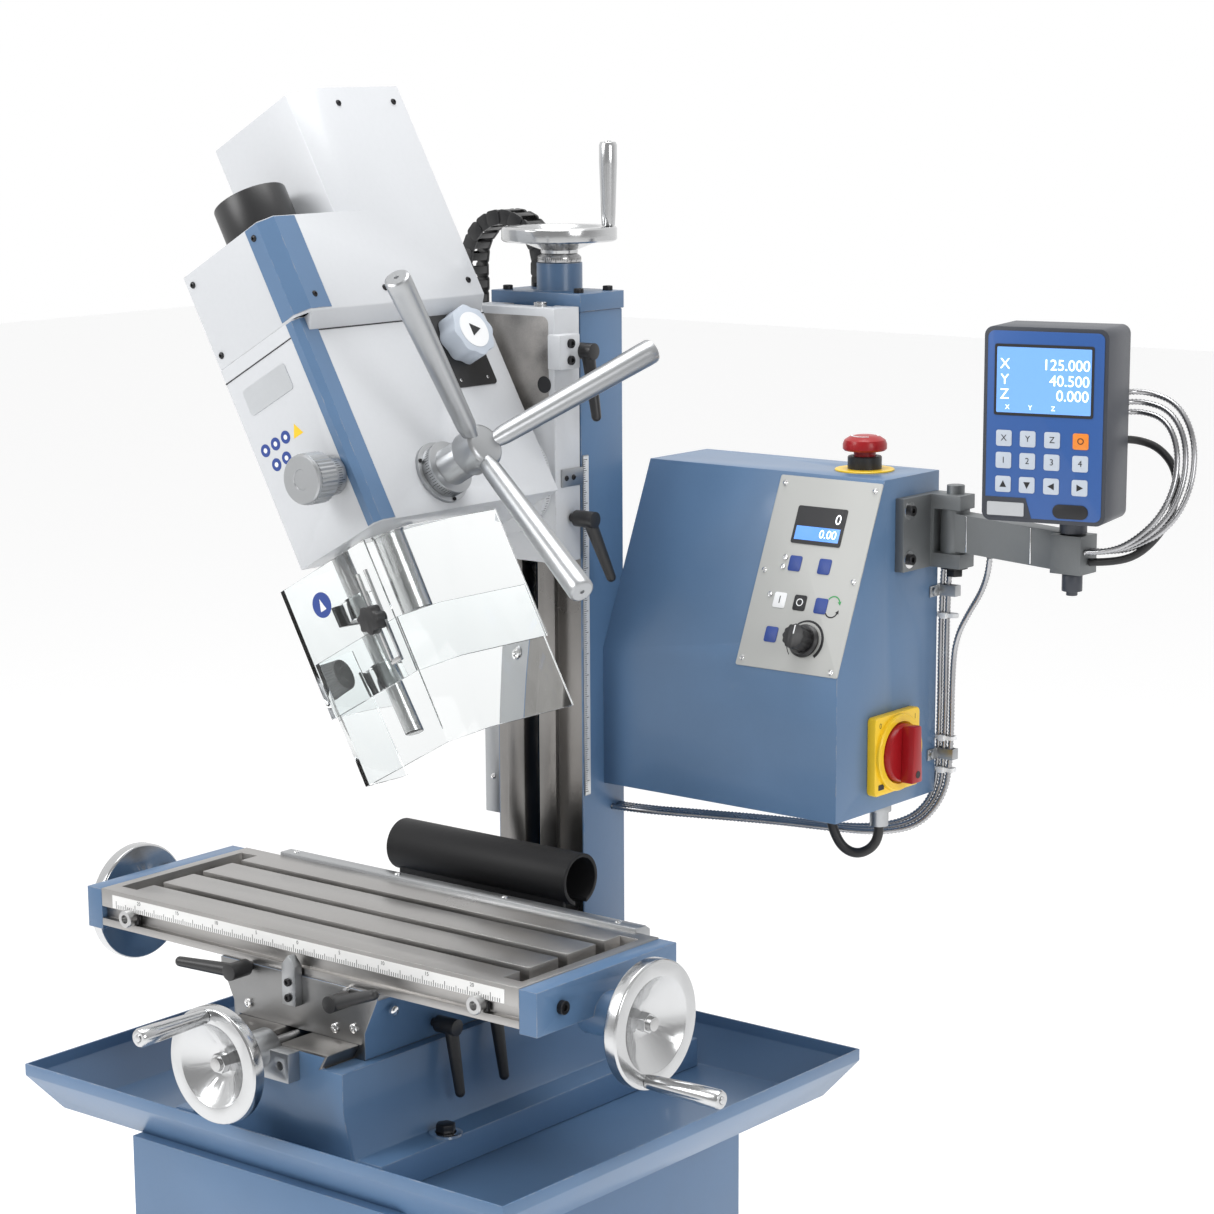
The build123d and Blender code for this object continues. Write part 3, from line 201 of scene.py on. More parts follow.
def drift_group() -> bpy.types.NodeTree:
    """Slow change of a value over a surface, with fine speckle on top."""
    g, start, end = group_tree(
        "surface_drift",
        [("Vector", "NodeSocketVector"), ("Scale", "NodeSocketFloat", 6.0)],
        [("Drift", "NodeSocketFloat"), ("Speckle", "NodeSocketFloat")],
    )
    broad = g.node("ShaderNodeTexNoise")
    fine = g.node("ShaderNodeTexNoise")
    broad.inputs["Detail"].default_value = 6.0
    fine.inputs["Detail"].default_value = 3.0
    g.link(start.outputs["Vector"], broad.inputs["Vector"])
    g.link(start.outputs["Vector"], fine.inputs["Vector"])
    g.link(start.outputs["Scale"], broad.inputs["Scale"])
    g.link(g.math("MULTIPLY", start.outputs["Scale"], 38.0), fine.inputs["Scale"])
    spread = g.node("ShaderNodeMapRange")
    spread.inputs["From Min"].default_value = 0.3
    spread.inputs["From Max"].default_value = 0.7
    g.link(broad.outputs["Fac"], spread.inputs["Value"])
    g.link(spread.outputs["Result"], end.inputs["Drift"])
    g.link(fine.outputs["Fac"], end.inputs["Speckle"])
    return g.tree


def grain_group() -> bpy.types.NodeTree:
    """Fine bump that can be stretched into brush lines."""
    g, start, end = group_tree(
        "fine_grain",
        [
            ("Vector", "NodeSocketVector"),
            ("Stretch", "NodeSocketVector", (1, 1, 1)),
            ("Scale", "NodeSocketFloat", 300.0),
            ("Strength", "NodeSocketFloat", 0.1),
        ],
        [("Normal", "NodeSocketVector"), ("Line", "NodeSocketFloat")],
    )
    scaled = g.node("ShaderNodeVectorMath", operation="MULTIPLY")
    noise = g.node("ShaderNodeTexNoise")
    bump = g.node("ShaderNodeBump")
    bump.inputs["Distance"].default_value = 0.0004
    noise.inputs["Detail"].default_value = 4.0
    g.link(start.outputs["Vector"], scaled.inputs[0])
    g.link(start.outputs["Stretch"], scaled.inputs[1])
    g.link(scaled.outputs[0], noise.inputs["Vector"])
    g.link(start.outputs["Scale"], noise.inputs["Scale"])
    g.link(start.outputs["Strength"], bump.inputs["Strength"])
    g.link(noise.outputs["Fac"], bump.inputs["Height"])
    g.link(bump.outputs["Normal"], end.inputs["Normal"])
    g.link(noise.outputs["Fac"], end.inputs["Line"])
    return g.tree


def edge_group() -> bpy.types.NodeTree:
    """Mask of outer edges, broken up by noise, for worn paint."""
    g, start, end = group_tree(
        "edge_mask",
        [("Vector", "NodeSocketVector"), ("Amount", "NodeSocketFloat", 0.3)],
        [("Mask", "NodeSocketFloat")],
    )
    bevel = g.node("ShaderNodeBevel", samples=4)
    bevel.inputs["Radius"].default_value = 0.0012
    geometry = g.node("ShaderNodeNewGeometry")
    dot = g.node("ShaderNodeVectorMath", operation="DOT_PRODUCT")
    g.link(bevel.outputs["Normal"], dot.inputs[0])
    g.link(geometry.outputs["Normal"], dot.inputs[1])
    noise = g.node("ShaderNodeTexNoise")
    noise.inputs["Scale"].default_value = 90.0
    noise.inputs["Detail"].default_value = 6.0
    g.link(start.outputs["Vector"], noise.inputs["Vector"])
    rise = g.math("MULTIPLY", g.math("SUBTRACT", 1.0, dot.outputs["Value"]), 5.0)
    broken = g.math("SUBTRACT", noise.outputs["Fac"], g.math("SUBTRACT", 0.62, start.outputs["Amount"]))
    mask = g.node("ShaderNodeMath", operation="MULTIPLY", use_clamp=True)
    g.link(rise, mask.inputs[0])
    g.link(g.math("MULTIPLY", broken, 8.0), mask.inputs[1])
    g.link(mask.outputs[0], end.inputs["Mask"])
    return g.tree


DRIFT, GRAIN, EDGE = drift_group(), grain_group(), edge_group()


@dataclass(frozen=True)
class Finish:
    """One surface finish, all of it procedural and in object coordinates."""

    name: str
    colour: Point
    metallic: float = 0.0
    roughness: float = 0.45
    specular: float = 0.5
    coat: float = 0.0
    tone: float = 0.10
    drift_scale: float = 7.0
    spread: float = 0.10
    speckle: float = 0.04
    bump: float = 0.05
    bump_scale: float = 350.0
    stretch: Point = (1.0, 1.0, 1.0)
    wear: float = 0.0
    worn: Point = (0.30, 0.30, 0.31)
    transmission: float = 0.0
    ior: float = 1.5
    glow: float = 0.0
    slot: str = ""

    def build(self) -> bpy.types.Material:
        """Makes the material.

        Returns:
            A new material with one Principled shader.
        """
        mat = bpy.data.materials.new(self.name)
        mat.use_nodes = True
        g = Graph(mat.node_tree)
        shader = mat.node_tree.nodes["Principled BSDF"]
        shader.inputs["Base Color"].default_value = (*self.colour, 1.0)
        shader.inputs["Metallic"].default_value = self.metallic
        shader.inputs["Roughness"].default_value = self.roughness
        shader.inputs["IOR"].default_value = self.ior
        shader.inputs["Specular IOR Level"].default_value = self.specular
        shader.inputs["Coat Weight"].default_value = self.coat
        shader.inputs["Coat Roughness"].default_value = 0.12
        shader.inputs["Transmission Weight"].default_value = self.transmission
        if self.glow:
            shader.inputs["Emission Color"].default_value = (*self.colour, 1.0)
            shader.inputs["Emission Strength"].default_value = self.glow
        if self.transmission:
            return mat
        place = g.node("ShaderNodeTexCoord").outputs["Object"]
        drift = g.node("ShaderNodeGroup", node_tree=DRIFT)
        drift.inputs["Scale"].default_value = self.drift_scale
        g.link(place, drift.inputs["Vector"])
        change = g.math("MULTIPLY", g.math("SUBTRACT", drift.outputs["Drift"], 0.5), self.tone)
        dots = g.math("MULTIPLY", g.math("SUBTRACT", drift.outputs["Speckle"], 0.5), self.speckle)
        level = g.math("ADD", g.math("ADD", change, dots), 1.0)
        base = g.node("ShaderNodeVectorMath", operation="SCALE")
        base.inputs[0].default_value = self.colour
        g.link(level, base.inputs["Scale"])
        colour = base.outputs[0]
        rough = g.math("ADD", g.math("MULTIPLY", g.math("SUBTRACT", drift.outputs["Drift"], 0.5),
                                     self.spread), self.roughness)
        if self.wear:
            edge = g.node("ShaderNodeGroup", node_tree=EDGE)
            edge.inputs["Amount"].default_value = self.wear
            g.link(place, edge.inputs["Vector"])
            mix = g.node("ShaderNodeMix", data_type="RGBA")
            mix.inputs["B"].default_value = (*self.worn, 1.0)
            g.link(edge.outputs["Mask"], mix.inputs["Factor"])
            g.link(colour, mix.inputs["A"])
            colour = mix.outputs["Result"]
        g.link(colour, shader.inputs["Base Color"])
        g.link(rough, shader.inputs["Roughness"])
        if self.bump:
            grain = g.node("ShaderNodeGroup", node_tree=GRAIN)
            grain.inputs["Stretch"].default_value = self.stretch
            grain.inputs["Scale"].default_value = self.bump_scale
            grain.inputs["Strength"].default_value = self.bump
            g.link(place, grain.inputs["Vector"])
            g.link(grain.outputs["Normal"], shader.inputs["Normal"])
        return mat


class Paint(Enum):
    """Every finish on the machine."""

    BLUE = Finish("blue_enamel", (0.092, 0.172, 0.300), roughness=0.40, coat=0.2, tone=0.18, bump=0.10,
                  bump_scale=120, wear=0.16, slot="blue_paint")
    BLUE_CAST = Finish("blue_cast", (0.082, 0.160, 0.285), roughness=0.42, coat=0.2, tone=0.20, bump=0.35,
                       bump_scale=70, wear=0.22, slot="blue_paint")
    WHITE = Finish("white_enamel", (0.575, 0.59, 0.612), roughness=0.34, coat=0.25, tone=0.03, bump=0.05,
                   bump_scale=140, wear=0.10, worn=(0.42, 0.42, 0.42), slot="white_paint")
    TABLE = Finish("ground_iron", (0.40, 0.39, 0.38), metallic=1.0, roughness=0.36, tone=0.22, spread=0.18,
                   bump=0.22, bump_scale=55, stretch=(1, 26, 26), slot="machined_steel")
    WAYS = Finish("scraped_iron", (0.30, 0.30, 0.30), metallic=1.0, roughness=0.40, tone=0.35, spread=0.2,
                  bump=0.25, bump_scale=160, slot="machined_steel")
    DARK_WAY = Finish("oiled_way", (0.27, 0.26, 0.25), metallic=1.0, roughness=0.34, tone=0.5, spread=0.2,
                      bump=0.25, bump_scale=60, stretch=(18, 18, 1), slot="machined_steel")
    MOTTLED = Finish("bare_casting", (0.42, 0.40, 0.38), metallic=0.85, roughness=0.46, tone=0.75,
                     drift_scale=22, spread=0.3, speckle=0.3, bump=0.3, bump_scale=90, slot="steel")
    ALUMINIUM = Finish("turned_aluminium", (0.56, 0.565, 0.57), metallic=1.0, roughness=0.20, tone=0.10,
                       spread=0.12, bump=0.05, bump_scale=240, slot="aluminium")
    SATIN = Finish("satin_aluminium", (0.42, 0.43, 0.44), metallic=1.0, roughness=0.38, tone=0.10,
                   spread=0.12, bump=0.12, bump_scale=400, slot="aluminium")
    STEEL = Finish("turned_steel", (0.50, 0.50, 0.50), metallic=1.0, roughness=0.28, tone=0.2, spread=0.15,
                   bump=0.08, bump_scale=260, slot="steel")
    CHROME = Finish("bright_steel", (0.80, 0.80, 0.80), metallic=1.0, roughness=0.14, tone=0.1, bump=0.0,
                    slot="steel")
    CONDUIT = Finish("armoured_hose", (0.42, 0.42, 0.43), metallic=1.0, roughness=0.26, tone=0.25,
                     drift_scale=30, bump=0.0, slot="steel")
    BLACK = Finish("black_plastic", (0.018, 0.018, 0.019), roughness=0.38, tone=0.2, bump=0.12,
                   bump_scale=600, slot="black_plastic")
    SCREW = Finish("black_oxide", (0.03, 0.03, 0.032), metallic=0.7, roughness=0.36, bump=0.05)
    RUBBER = Finish("rubber_sheet", (0.011, 0.011, 0.012), roughness=0.55, specular=0.25, tone=0.35,
                    bump=0.25, bump_scale=200, slot="rubber")
    CABLE = Finish("black_cable", (0.016, 0.016, 0.017), roughness=0.45, tone=0.2, bump=0.05)
    CLEAR = Finish("clear_acrylic", (0.95, 0.97, 0.97), roughness=0.0, transmission=1.0, ior=1.22,
                   slot="clear_acrylic")
    YELLOW = Finish("yellow_plastic", (0.86, 0.56, 0.02), roughness=0.34, tone=0.06, slot="yellow_plastic")
    RED = Finish("red_plastic", (0.33, 0.008, 0.012), roughness=0.34, coat=0.15, specular=0.3, tone=0.06,
                 slot="red_plastic")
    CAST = Finish("grey_cast", (0.19, 0.20, 0.205), metallic=0.7, roughness=0.50, tone=0.25, bump=0.45,
                  bump_scale=140, slot="grey_cast")
    HOUSING = Finish("dark_housing", (0.040, 0.045, 0.058), roughness=0.42, tone=0.12, bump=0.35,
                     bump_scale=900, slot="dark_housing")
    BRONZE = Finish("bronze", (0.48, 0.33, 0.13), metallic=1.0, roughness=0.32, slot="bronze")
    MOTOR = Finish("motor_black", (0.02, 0.02, 0.022), roughness=0.4, slot="motor_black")
    PANEL = Finish("panel_film", (0.44, 0.445, 0.43), roughness=0.34, tone=0.03, speckle=0.0, bump=0.02)
    INK = Finish("ink", (0.012, 0.012, 0.014), roughness=0.5, tone=0.0, bump=0.0)
    INK_BLUE = Finish("ink_blue", (0.020, 0.055, 0.26), roughness=0.4, tone=0.0, bump=0.0)
    INK_WHITE = Finish("ink_white", (0.80, 0.81, 0.82), roughness=0.4, tone=0.0, bump=0.0)
    INK_GREEN = Finish("ink_green", (0.03, 0.30, 0.08), roughness=0.4, tone=0.0, bump=0.0)
    KEY = Finish("key_grey", (0.50, 0.55, 0.62), roughness=0.4, tone=0.02, bump=0.0)
    KEY_ORANGE = Finish("key_orange", (0.80, 0.24, 0.03), roughness=0.4, tone=0.02, bump=0.0)
    FACE = Finish("face_blue", (0.030, 0.10, 0.32), roughness=0.36, tone=0.03, bump=0.0)
    LCD = Finish("lcd_blue", (0.10, 0.30, 0.85), roughness=0.2, glow=0.35, tone=0.0, bump=0.0)
    SCREEN = Finish("screen_blue", (0.16, 0.36, 0.80), roughness=0.2, glow=0.35, tone=0.0, bump=0.0)
    DIGIT = Finish("lit_digit", (0.90, 0.95, 1.0), roughness=0.3, glow=1.2, tone=0.0, bump=0.0)
    STRIP = Finish("engraved_strip", (0.80, 0.80, 0.79), metallic=0.35, roughness=0.4, tone=0.05, bump=0.02,
                   slot="aluminium")
    LABEL = Finish("label_blank", (0.62, 0.64, 0.66), metallic=0.8, roughness=0.35, tone=0.1, bump=0.05)


_MADE: dict[Paint, bpy.types.Material] = {}


def paint(which: Paint) -> bpy.types.Material:
    """The material of a finish, made once.

    Args:
        which: The finish.

    Returns:
        Its material.
    """
    if which not in _MADE:
        _MADE[which] = which.value.build()
    return _MADE[which]


# ---- mesh makers (millimetres) ------------------------------------------------------------------
def rounded(bm: Mesh, width: float, angle: float = 35.0, segments: int = 2) -> Mesh:
    """Bevels every edge that is sharper than an angle.

    Args:
        bm: Mesh to change.
        width: Bevel offset.
        angle: Smallest angle between two faces that is bevelled, in degrees.
        segments: Bevel segments.

    Returns:
        The same mesh.
    """
    limit = math.radians(angle)
    edges = [e for e in bm.edges if len(e.link_faces) == 2 and e.calc_face_angle(0) > limit]
    if edges and width > 0:
        bmesh.ops.bevel(bm, geom=edges, offset=width, segments=segments, profile=0.5, affect="EDGES",
                        material=-1, clamp_overlap=True)
    return bm


def slab(x: Span, y: Span, z: Span, bevel: float = 0.0, segments: int = 2) -> Mesh:
    """A box between two limits on each axis.

    Args:
        x: Left and right limit.
        y: Front and rear limit.
        z: Low and high limit.
        bevel: Width of the edge rounding.
        segments: Bevel segments.

    Returns:
        The box.
    """
    bm = bmesh.new()
    bmesh.ops.create_cube(bm, size=1)
    size = [b - a for a, b in (x, y, z)]
    centre = [(a + b) / 2 for a, b in (x, y, z)]
    bm.transform(Matrix.Translation(centre) @ Matrix.Diagonal((*size, 1)))
    return rounded(bm, bevel, segments=segments)


def lathe(profile: Outline, steps: int = 64) -> Mesh:
    """A solid turned about Z from (radius, height) points, listed from the bottom up and round.

    Args:
        profile: Points of the half section.
        steps: Faces round the axis.

    Returns:
        The closed solid.
    """
    bm = bmesh.new()
    verts = [bm.verts.new((r, 0, z)) for r, z in profile]
    edges = [bm.edges.new((a, b)) for a, b in zip(verts, verts[1:])]
    bmesh.ops.spin(bm, geom=verts + edges, cent=(0, 0, 0), axis=(0, 0, 1), angle=2 * math.pi, steps=steps,
                   use_merge=True)
    bmesh.ops.remove_doubles(bm, verts=bm.verts, dist=1e-4)
    bmesh.ops.recalc_face_normals(bm, faces=bm.faces)
    return bm


def prism(outline: Outline, z0: float, z1: float, bevel: float = 0.0) -> Mesh:
    """A straight prism over an outline of (x, y) points.

    Args:
        outline: Corner points.
        z0: Bottom.
        z1: Top.
        bevel: Width of the edge rounding.

    Returns:
        The closed prism.
    """
    bm = bmesh.new()
    face = bm.faces.new([bm.verts.new((x, y, z0)) for x, y in outline])
    top = bmesh.ops.extrude_face_region(bm, geom=[face])["geom"]
    moved = [v for v in top if isinstance(v, bmesh.types.BMVert)]
    bmesh.ops.translate(bm, vec=(0, 0, z1 - z0), verts=moved)
    bmesh.ops.recalc_face_normals(bm, faces=bm.faces)
    return rounded(bm, bevel)


def polygon(radius: float, sides: int, turn: float = 0.0) -> Outline:
    """Corner points of a regular polygon.

    Args:
        radius: Radius of the corner circle.
        sides: Number of corners.
        turn: Angle of the first corner, in radians.

    Returns:
        Corner points, counter-clockwise.
    """
    angles = [2 * math.pi * i / sides + turn for i in range(sides)]
    return [(radius * math.cos(a), radius * math.sin(a)) for a in angles]


def lobed(radius: float, depth: float, lobes: int, steps: int) -> Outline:
    """Outline of a fluted or knurled knob.

    Args:
        radius: Outer radius.
        depth: Depth of each flute.
        lobes: Number of flutes.
        steps: Number of points.

    Returns:
        Corner points, counter-clockwise.
    """
    points = []
    for i in range(steps):
        a = 2 * math.pi * i / steps
        r = radius - depth * (0.5 - 0.5 * math.cos(lobes * a))
        points.append((r * math.cos(a), r * math.sin(a)))
    return points


def rounded_rect(w: float, h: float, r: float, steps: int = 6) -> Outline:
    """Outline of a rectangle with round corners, centred on the origin.

    Args:
        w: Width.
        h: Height.
        r: Corner radius.
        steps: Points per corner, less one.

    Returns:
        Corner points, counter-clockwise.
    """
    points = []
    for cx, cy, start in ((w / 2 - r, h / 2 - r, 0), (-w / 2 + r, h / 2 - r, 90),
                          (-w / 2 + r, -h / 2 + r, 180), (w / 2 - r, -h / 2 + r, 270)):
        for i in range(steps + 1):
            a = math.radians(start + 90 * i / steps)
            points.append((cx + r * math.cos(a), cy + r * math.sin(a)))
    return points


def merged(*parts: tuple[Mesh, Matrix] | Mesh) -> Mesh:
    """Several meshes as one, each with its own place.

    Args:
        parts: Meshes, or pairs of a mesh and its place; they are used up.

    Returns:
        The joined mesh.
    """
    bm = bmesh.new()
    for part in parts:
        source, place = part if isinstance(part, tuple) else (part, Matrix.Identity(4))
        source.transform(place)
        mesh = bpy.data.meshes.new("tmp")
        source.to_mesh(mesh)
        source.free()
        bm.from_mesh(mesh)
        bpy.data.meshes.remove(mesh)
    return bm


def spline(points: list[Point], step: float = 1.0) -> list[Vector]:
    """Points along the end-clamped quadratic B-spline of a control polygon.

    Args:
        points: Control points.
        step: Spacing of the returned points.

    Returns:
        Evenly spaced points along the curve.
    """
    p = [Vector(q) for q in points]
    dense: list[Vector] = [p[0]]
    for i in range(1, len(p) - 1):
        a = p[0] if i == 1 else (p[i - 1] + p[i]) / 2
        b = p[-1] if i == len(p) - 2 else (p[i] + p[i + 1]) / 2
        for k in range(1, 25):
            t = k / 24
            dense.append(a * (1 - t) ** 2 + p[i] * (2 * t * (1 - t)) + b * t * t)
    run = [0.0]
    for a, b in zip(dense, dense[1:]):
        run.append(run[-1] + (b - a).length)
    count = max(2, round(run[-1] / step))
    even, j = [], 0
    for i in range(count + 1):
        s = run[-1] * i / count
        while j < len(run) - 2 and run[j + 1] < s:
            j += 1
        t = (s - run[j]) / max(1e-9, run[j + 1] - run[j])
        even.append(dense[j].lerp(dense[j + 1], min(1, t)))
    return even


def hose(path: list[Vector], radius: float, sides: int = 12, ridge: float = 0.0) -> Mesh:
    """A tube along a path; a ridge makes it an armoured hose with one rib per two path steps.

    Args:
        path: Centreline points.
        radius: Outer radius.
        sides: Points round the tube.
        ridge: Depth of the groove between ribs.

    Returns:
        The closed tube.
    """
    bm = bmesh.new()
    side = None
    rings = []
    for i, point in enumerate(path):
        ahead = (path[min(i + 1, len(path) - 1)] - path[max(i - 1, 0)]).normalized()
        if side is None:
            side = ahead.orthogonal().normalized()
        side = (side - ahead * side.dot(ahead)).normalized()
        up = ahead.cross(side)
        r = radius - (ridge if i % 2 else 0.0)
        rings.append([bm.verts.new(point + side * r * math.cos(2 * math.pi * k / sides)
                                   + up * r * math.sin(2 * math.pi * k / sides)) for k in range(sides)])
    for a, b in zip(rings, rings[1:]):
        for k in range(sides):
            n = (k + 1) % sides
            bm.faces.new((a[k], a[n], b[n], b[k]))
    bm.faces.new(rings[0][::-1])
    bm.faces.new(rings[-1])
    bmesh.ops.recalc_face_normals(bm, faces=bm.faces)
    return bm


def letters(text: str, height: float, lift: float = 0.05) -> Mesh:
    """Flat generic characters, centred on the origin, facing local +Z.

    Args:
        text: Characters.
        height: Height of a capital.
        lift: Height above the local XY plane.

    Returns:
        The flat mesh.
    """
    curve = bpy.data.curves.new("text", "FONT")
    curve.body, curve.size = text, height / CAP_HEIGHT
    curve.align_x, curve.align_y = "CENTER", "CENTER"
    holder = bpy.data.objects.new("text", curve)
    bpy.context.scene.collection.objects.link(holder)
    bpy.context.view_layer.update()
    mesh = bpy.data.meshes.new_from_object(holder.evaluated_get(bpy.context.evaluated_depsgraph_get()))
    bpy.data.objects.remove(holder)
    bm = bmesh.new()
    bm.from_mesh(mesh)
    bm.transform(at(0, 0, lift))
    return bm


# ---- putting pieces on the machine -----------------------------------------------------------------
def add(name: str, bm: Mesh, body: str, which: Paint, place: Matrix = Matrix.Identity(4),
        replaces: tuple[str, ...] = (), smooth: float = 32.0) -> bpy.types.Object:
    """Puts a piece on the machine.

    Args:
        name: Piece name.
        bm: Its mesh in millimetres; it is used up.
        body: Body of the frame that carries it, or "" to leave it unattached.
        which: Its finish.
        place: Where it goes.
        replaces: Nodes of the frame that it stands for.
        smooth: Largest angle between two faces that is shaded smooth, in degrees.

    Returns:
        The new object.
    """
    bm.transform(Matrix.Scale(MM, 4) @ place)
    if place.determinant() < 0:
        bmesh.ops.reverse_faces(bm, faces=bm.faces)
    mesh = bpy.data.meshes.new(name)
    for face in bm.faces:
        face.smooth = True
    for edge in bm.edges:
        if len(edge.link_faces) == 2 and edge.calc_face_angle(0) > math.radians(smooth):
            edge.smooth = False
    bm.to_mesh(mesh)
    bm.free()
    mesh.materials.append(paint(which))
    obj = bpy.data.objects.new(name, mesh)
    bpy.context.scene.collection.objects.link(obj)
    if body:
        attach(obj, body)
    if replaces:
        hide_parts(*replaces)
    LOG.info("piece %s: %d faces", name, len(mesh.polygons))
    return obj


def refined(node: str, which: Paint, bevel: float = 0.5, angle: float = 35.0) -> bpy.types.Object:
    """A cleaned copy of one node of the frame with its edges rounded, standing for that node.

    Args:
        node: Name of the node.
        which: Its finish.
        bevel: Width of the edge rounding.
        angle: Smallest angle between two faces that is rounded, in degrees.

    Returns:
        The new object.
    """
    source = frame["nodes"][node]
    bm = bmesh.new()
    bm.from_mesh(source.data)
    bm.transform(Matrix.Scale(1000, 4))
    bmesh.ops.remove_doubles(bm, verts=bm.verts, dist=2e-3)
    bmesh.ops.dissolve_limit(bm, angle_limit=math.radians(0.4), verts=bm.verts, edges=bm.edges)
    rounded(bm, bevel, angle)
    return add(f"{node}_looks", bm, source["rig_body"], which, replaces=(node,))


def socket_screw(radius: float, height: float) -> Mesh:
    """Cylinder-head screw with a driver recess.

    Args:
        radius: Radius of the head.
        height: Height of the head.

    Returns:
        The head, standing on local Z.
    """
    r, h = radius, height
    return lathe([(0, 0), (r, 0), (r, h - 0.5), (r - 0.5, h), (r * 0.55, h), (r * 0.50, h - 0.3),
                  (r * 0.50, h * 0.45), (0, h * 0.40)], 24)


def button_screw(radius: float) -> Mesh:
    """Low domed screw with a small recess.

    Args:
        radius: Radius of the head.

    Returns:
        The head, standing on local Z.
    """
    r = radius
    return lathe([(0, 0), (r, 0), (r, r * 0.15), (r * 0.8, r * 0.42), (r * 0.42, r * 0.55),
                  (r * 0.38, r * 0.2), (0, r * 0.18)], 20)


def hex_bolt(radius: float, height: float) -> Mesh:
    """Hexagon head on a washer.

    Args:
        radius: Corner radius of the hexagon.
        height: Height of the hexagon.

    Returns:
        The head and washer, standing on local Z.
    """
    washer = lathe([(0, 0), (radius * 1.5, 0), (radius * 1.5, 1.6), (radius * 1.38, 1.9), (0, 1.9)], 40)
    return merged(washer, (prism(polygon(radius, 6), 0, height, 0.5), at(0, 0, 1.8)))


def slotted_screw(radius: float, height: float) -> Mesh:
    """Cheese-head screw with a straight slot.

    Args:
        radius: Radius of the head.
        height: Height of the head.

    Returns:
        The head, standing on local Z.
    """
    h = height
    arc = [(radius * math.cos(a), radius * math.sin(a)) for a in
           (math.radians(-12 - 156 * i / 14) for i in range(15))]
    side = [(x, min(y, -radius * 0.16)) for x, y in arc]
    other = [(-x, -y) for x, y in side]
    base = lathe([(0, 0), (radius, 0), (radius, h * 0.5), (0, h * 0.5)], 28)
    return merged(base, prism(side, h * 0.5, h, 0.15), prism(other, h * 0.5, h, 0.15))


def ruler(length: float, height: float, step: float, every: int = 5) -> Mesh:
    """Thin graduation marks along local X, rising along local Y, facing local +Z.

    Args:
        length: Length of the scale.
        height: Width of the scale; the longest mark takes most of it.
        step: Spacing of the marks.
        every: Marks between two longer ones.

    Returns:
        The flat marks.
    """
    bm = bmesh.new()
    count = int(length / step)
    for i in range(count + 1):
        x = -length / 2 + i * step
        tall = height * (0.62 if i % (2 * every) == 0 else 0.48 if i % every == 0 else 0.32)
        corners = [(x - 0.3, 0), (x + 0.3, 0), (x + 0.3, tall), (x - 0.3, tall)]
        bm.faces.new([bm.verts.new((a, b, 0)) for a, b in corners])
    return bm


def ring_marks(radius: float, z0: float, z1: float, count: int) -> Mesh:
    """Graduation marks round a collar about local Z.

    Args:
        radius: Radius of the marks.
        z0: Low end of a long mark.
        z1: High end of every mark.
        count: Number of marks.

    Returns:
        The marks.
    """
    bm = bmesh.new()
    for i in range(count):
        a = 2 * math.pi * i / count
        w = 0.25 / radius
        low = z0 if i % 5 == 0 else z0 + (z1 - z0) * 0.4
        bm.faces.new([bm.verts.new((radius * math.cos(t), radius * math.sin(t), z))
                      for t, z in ((a - w, low), (a + w, low), (a + w, z1), (a - w, z1))])
    return bm


def stamp(name: str, shape: Mesh, body: str, which: Paint, place: Matrix) -> bpy.types.Object:
    """A thin printed mark, added like any other piece.

    Args:
        name: Piece name.
        shape: Its mesh; it is used up.
        body: Body that carries it.
        which: Its finish.
        place: Where it goes.

    Returns:
        The new object.
    """
    return add(name, shape, body, which, place)


def flat(w: float, h: float, r: float = 0.0, thick: float = 0.3) -> Mesh:
    """A thin plate centred on the origin, facing local +Z.

    Args:
        w: Width.
        h: Height.
        r: Corner radius, or 0 for sharp corners.
        thick: Thickness.

    Returns:
        The plate.
    """
    corners = [(-w / 2, -h / 2), (w / 2, -h / 2), (w / 2, h / 2), (-w / 2, h / 2)]
    return prism(rounded_rect(w, h, r) if r else corners, 0, thick)


def facing(origin: Point, right: Axis, up: Axis) -> Matrix:
    """Place whose local X and Y run along two axes, so local +Z faces their cross product.

    Args:
        origin: Origin of the place.
        right: Direction of local +X.
        up: Direction of local +Y.

    Returns:
        The placing matrix.
    """
    x, y = Vector(right.value), Vector(up.value)
    m = Matrix((x, y, x.cross(y))).transposed().to_4x4()
    return Matrix.Translation(origin) @ m


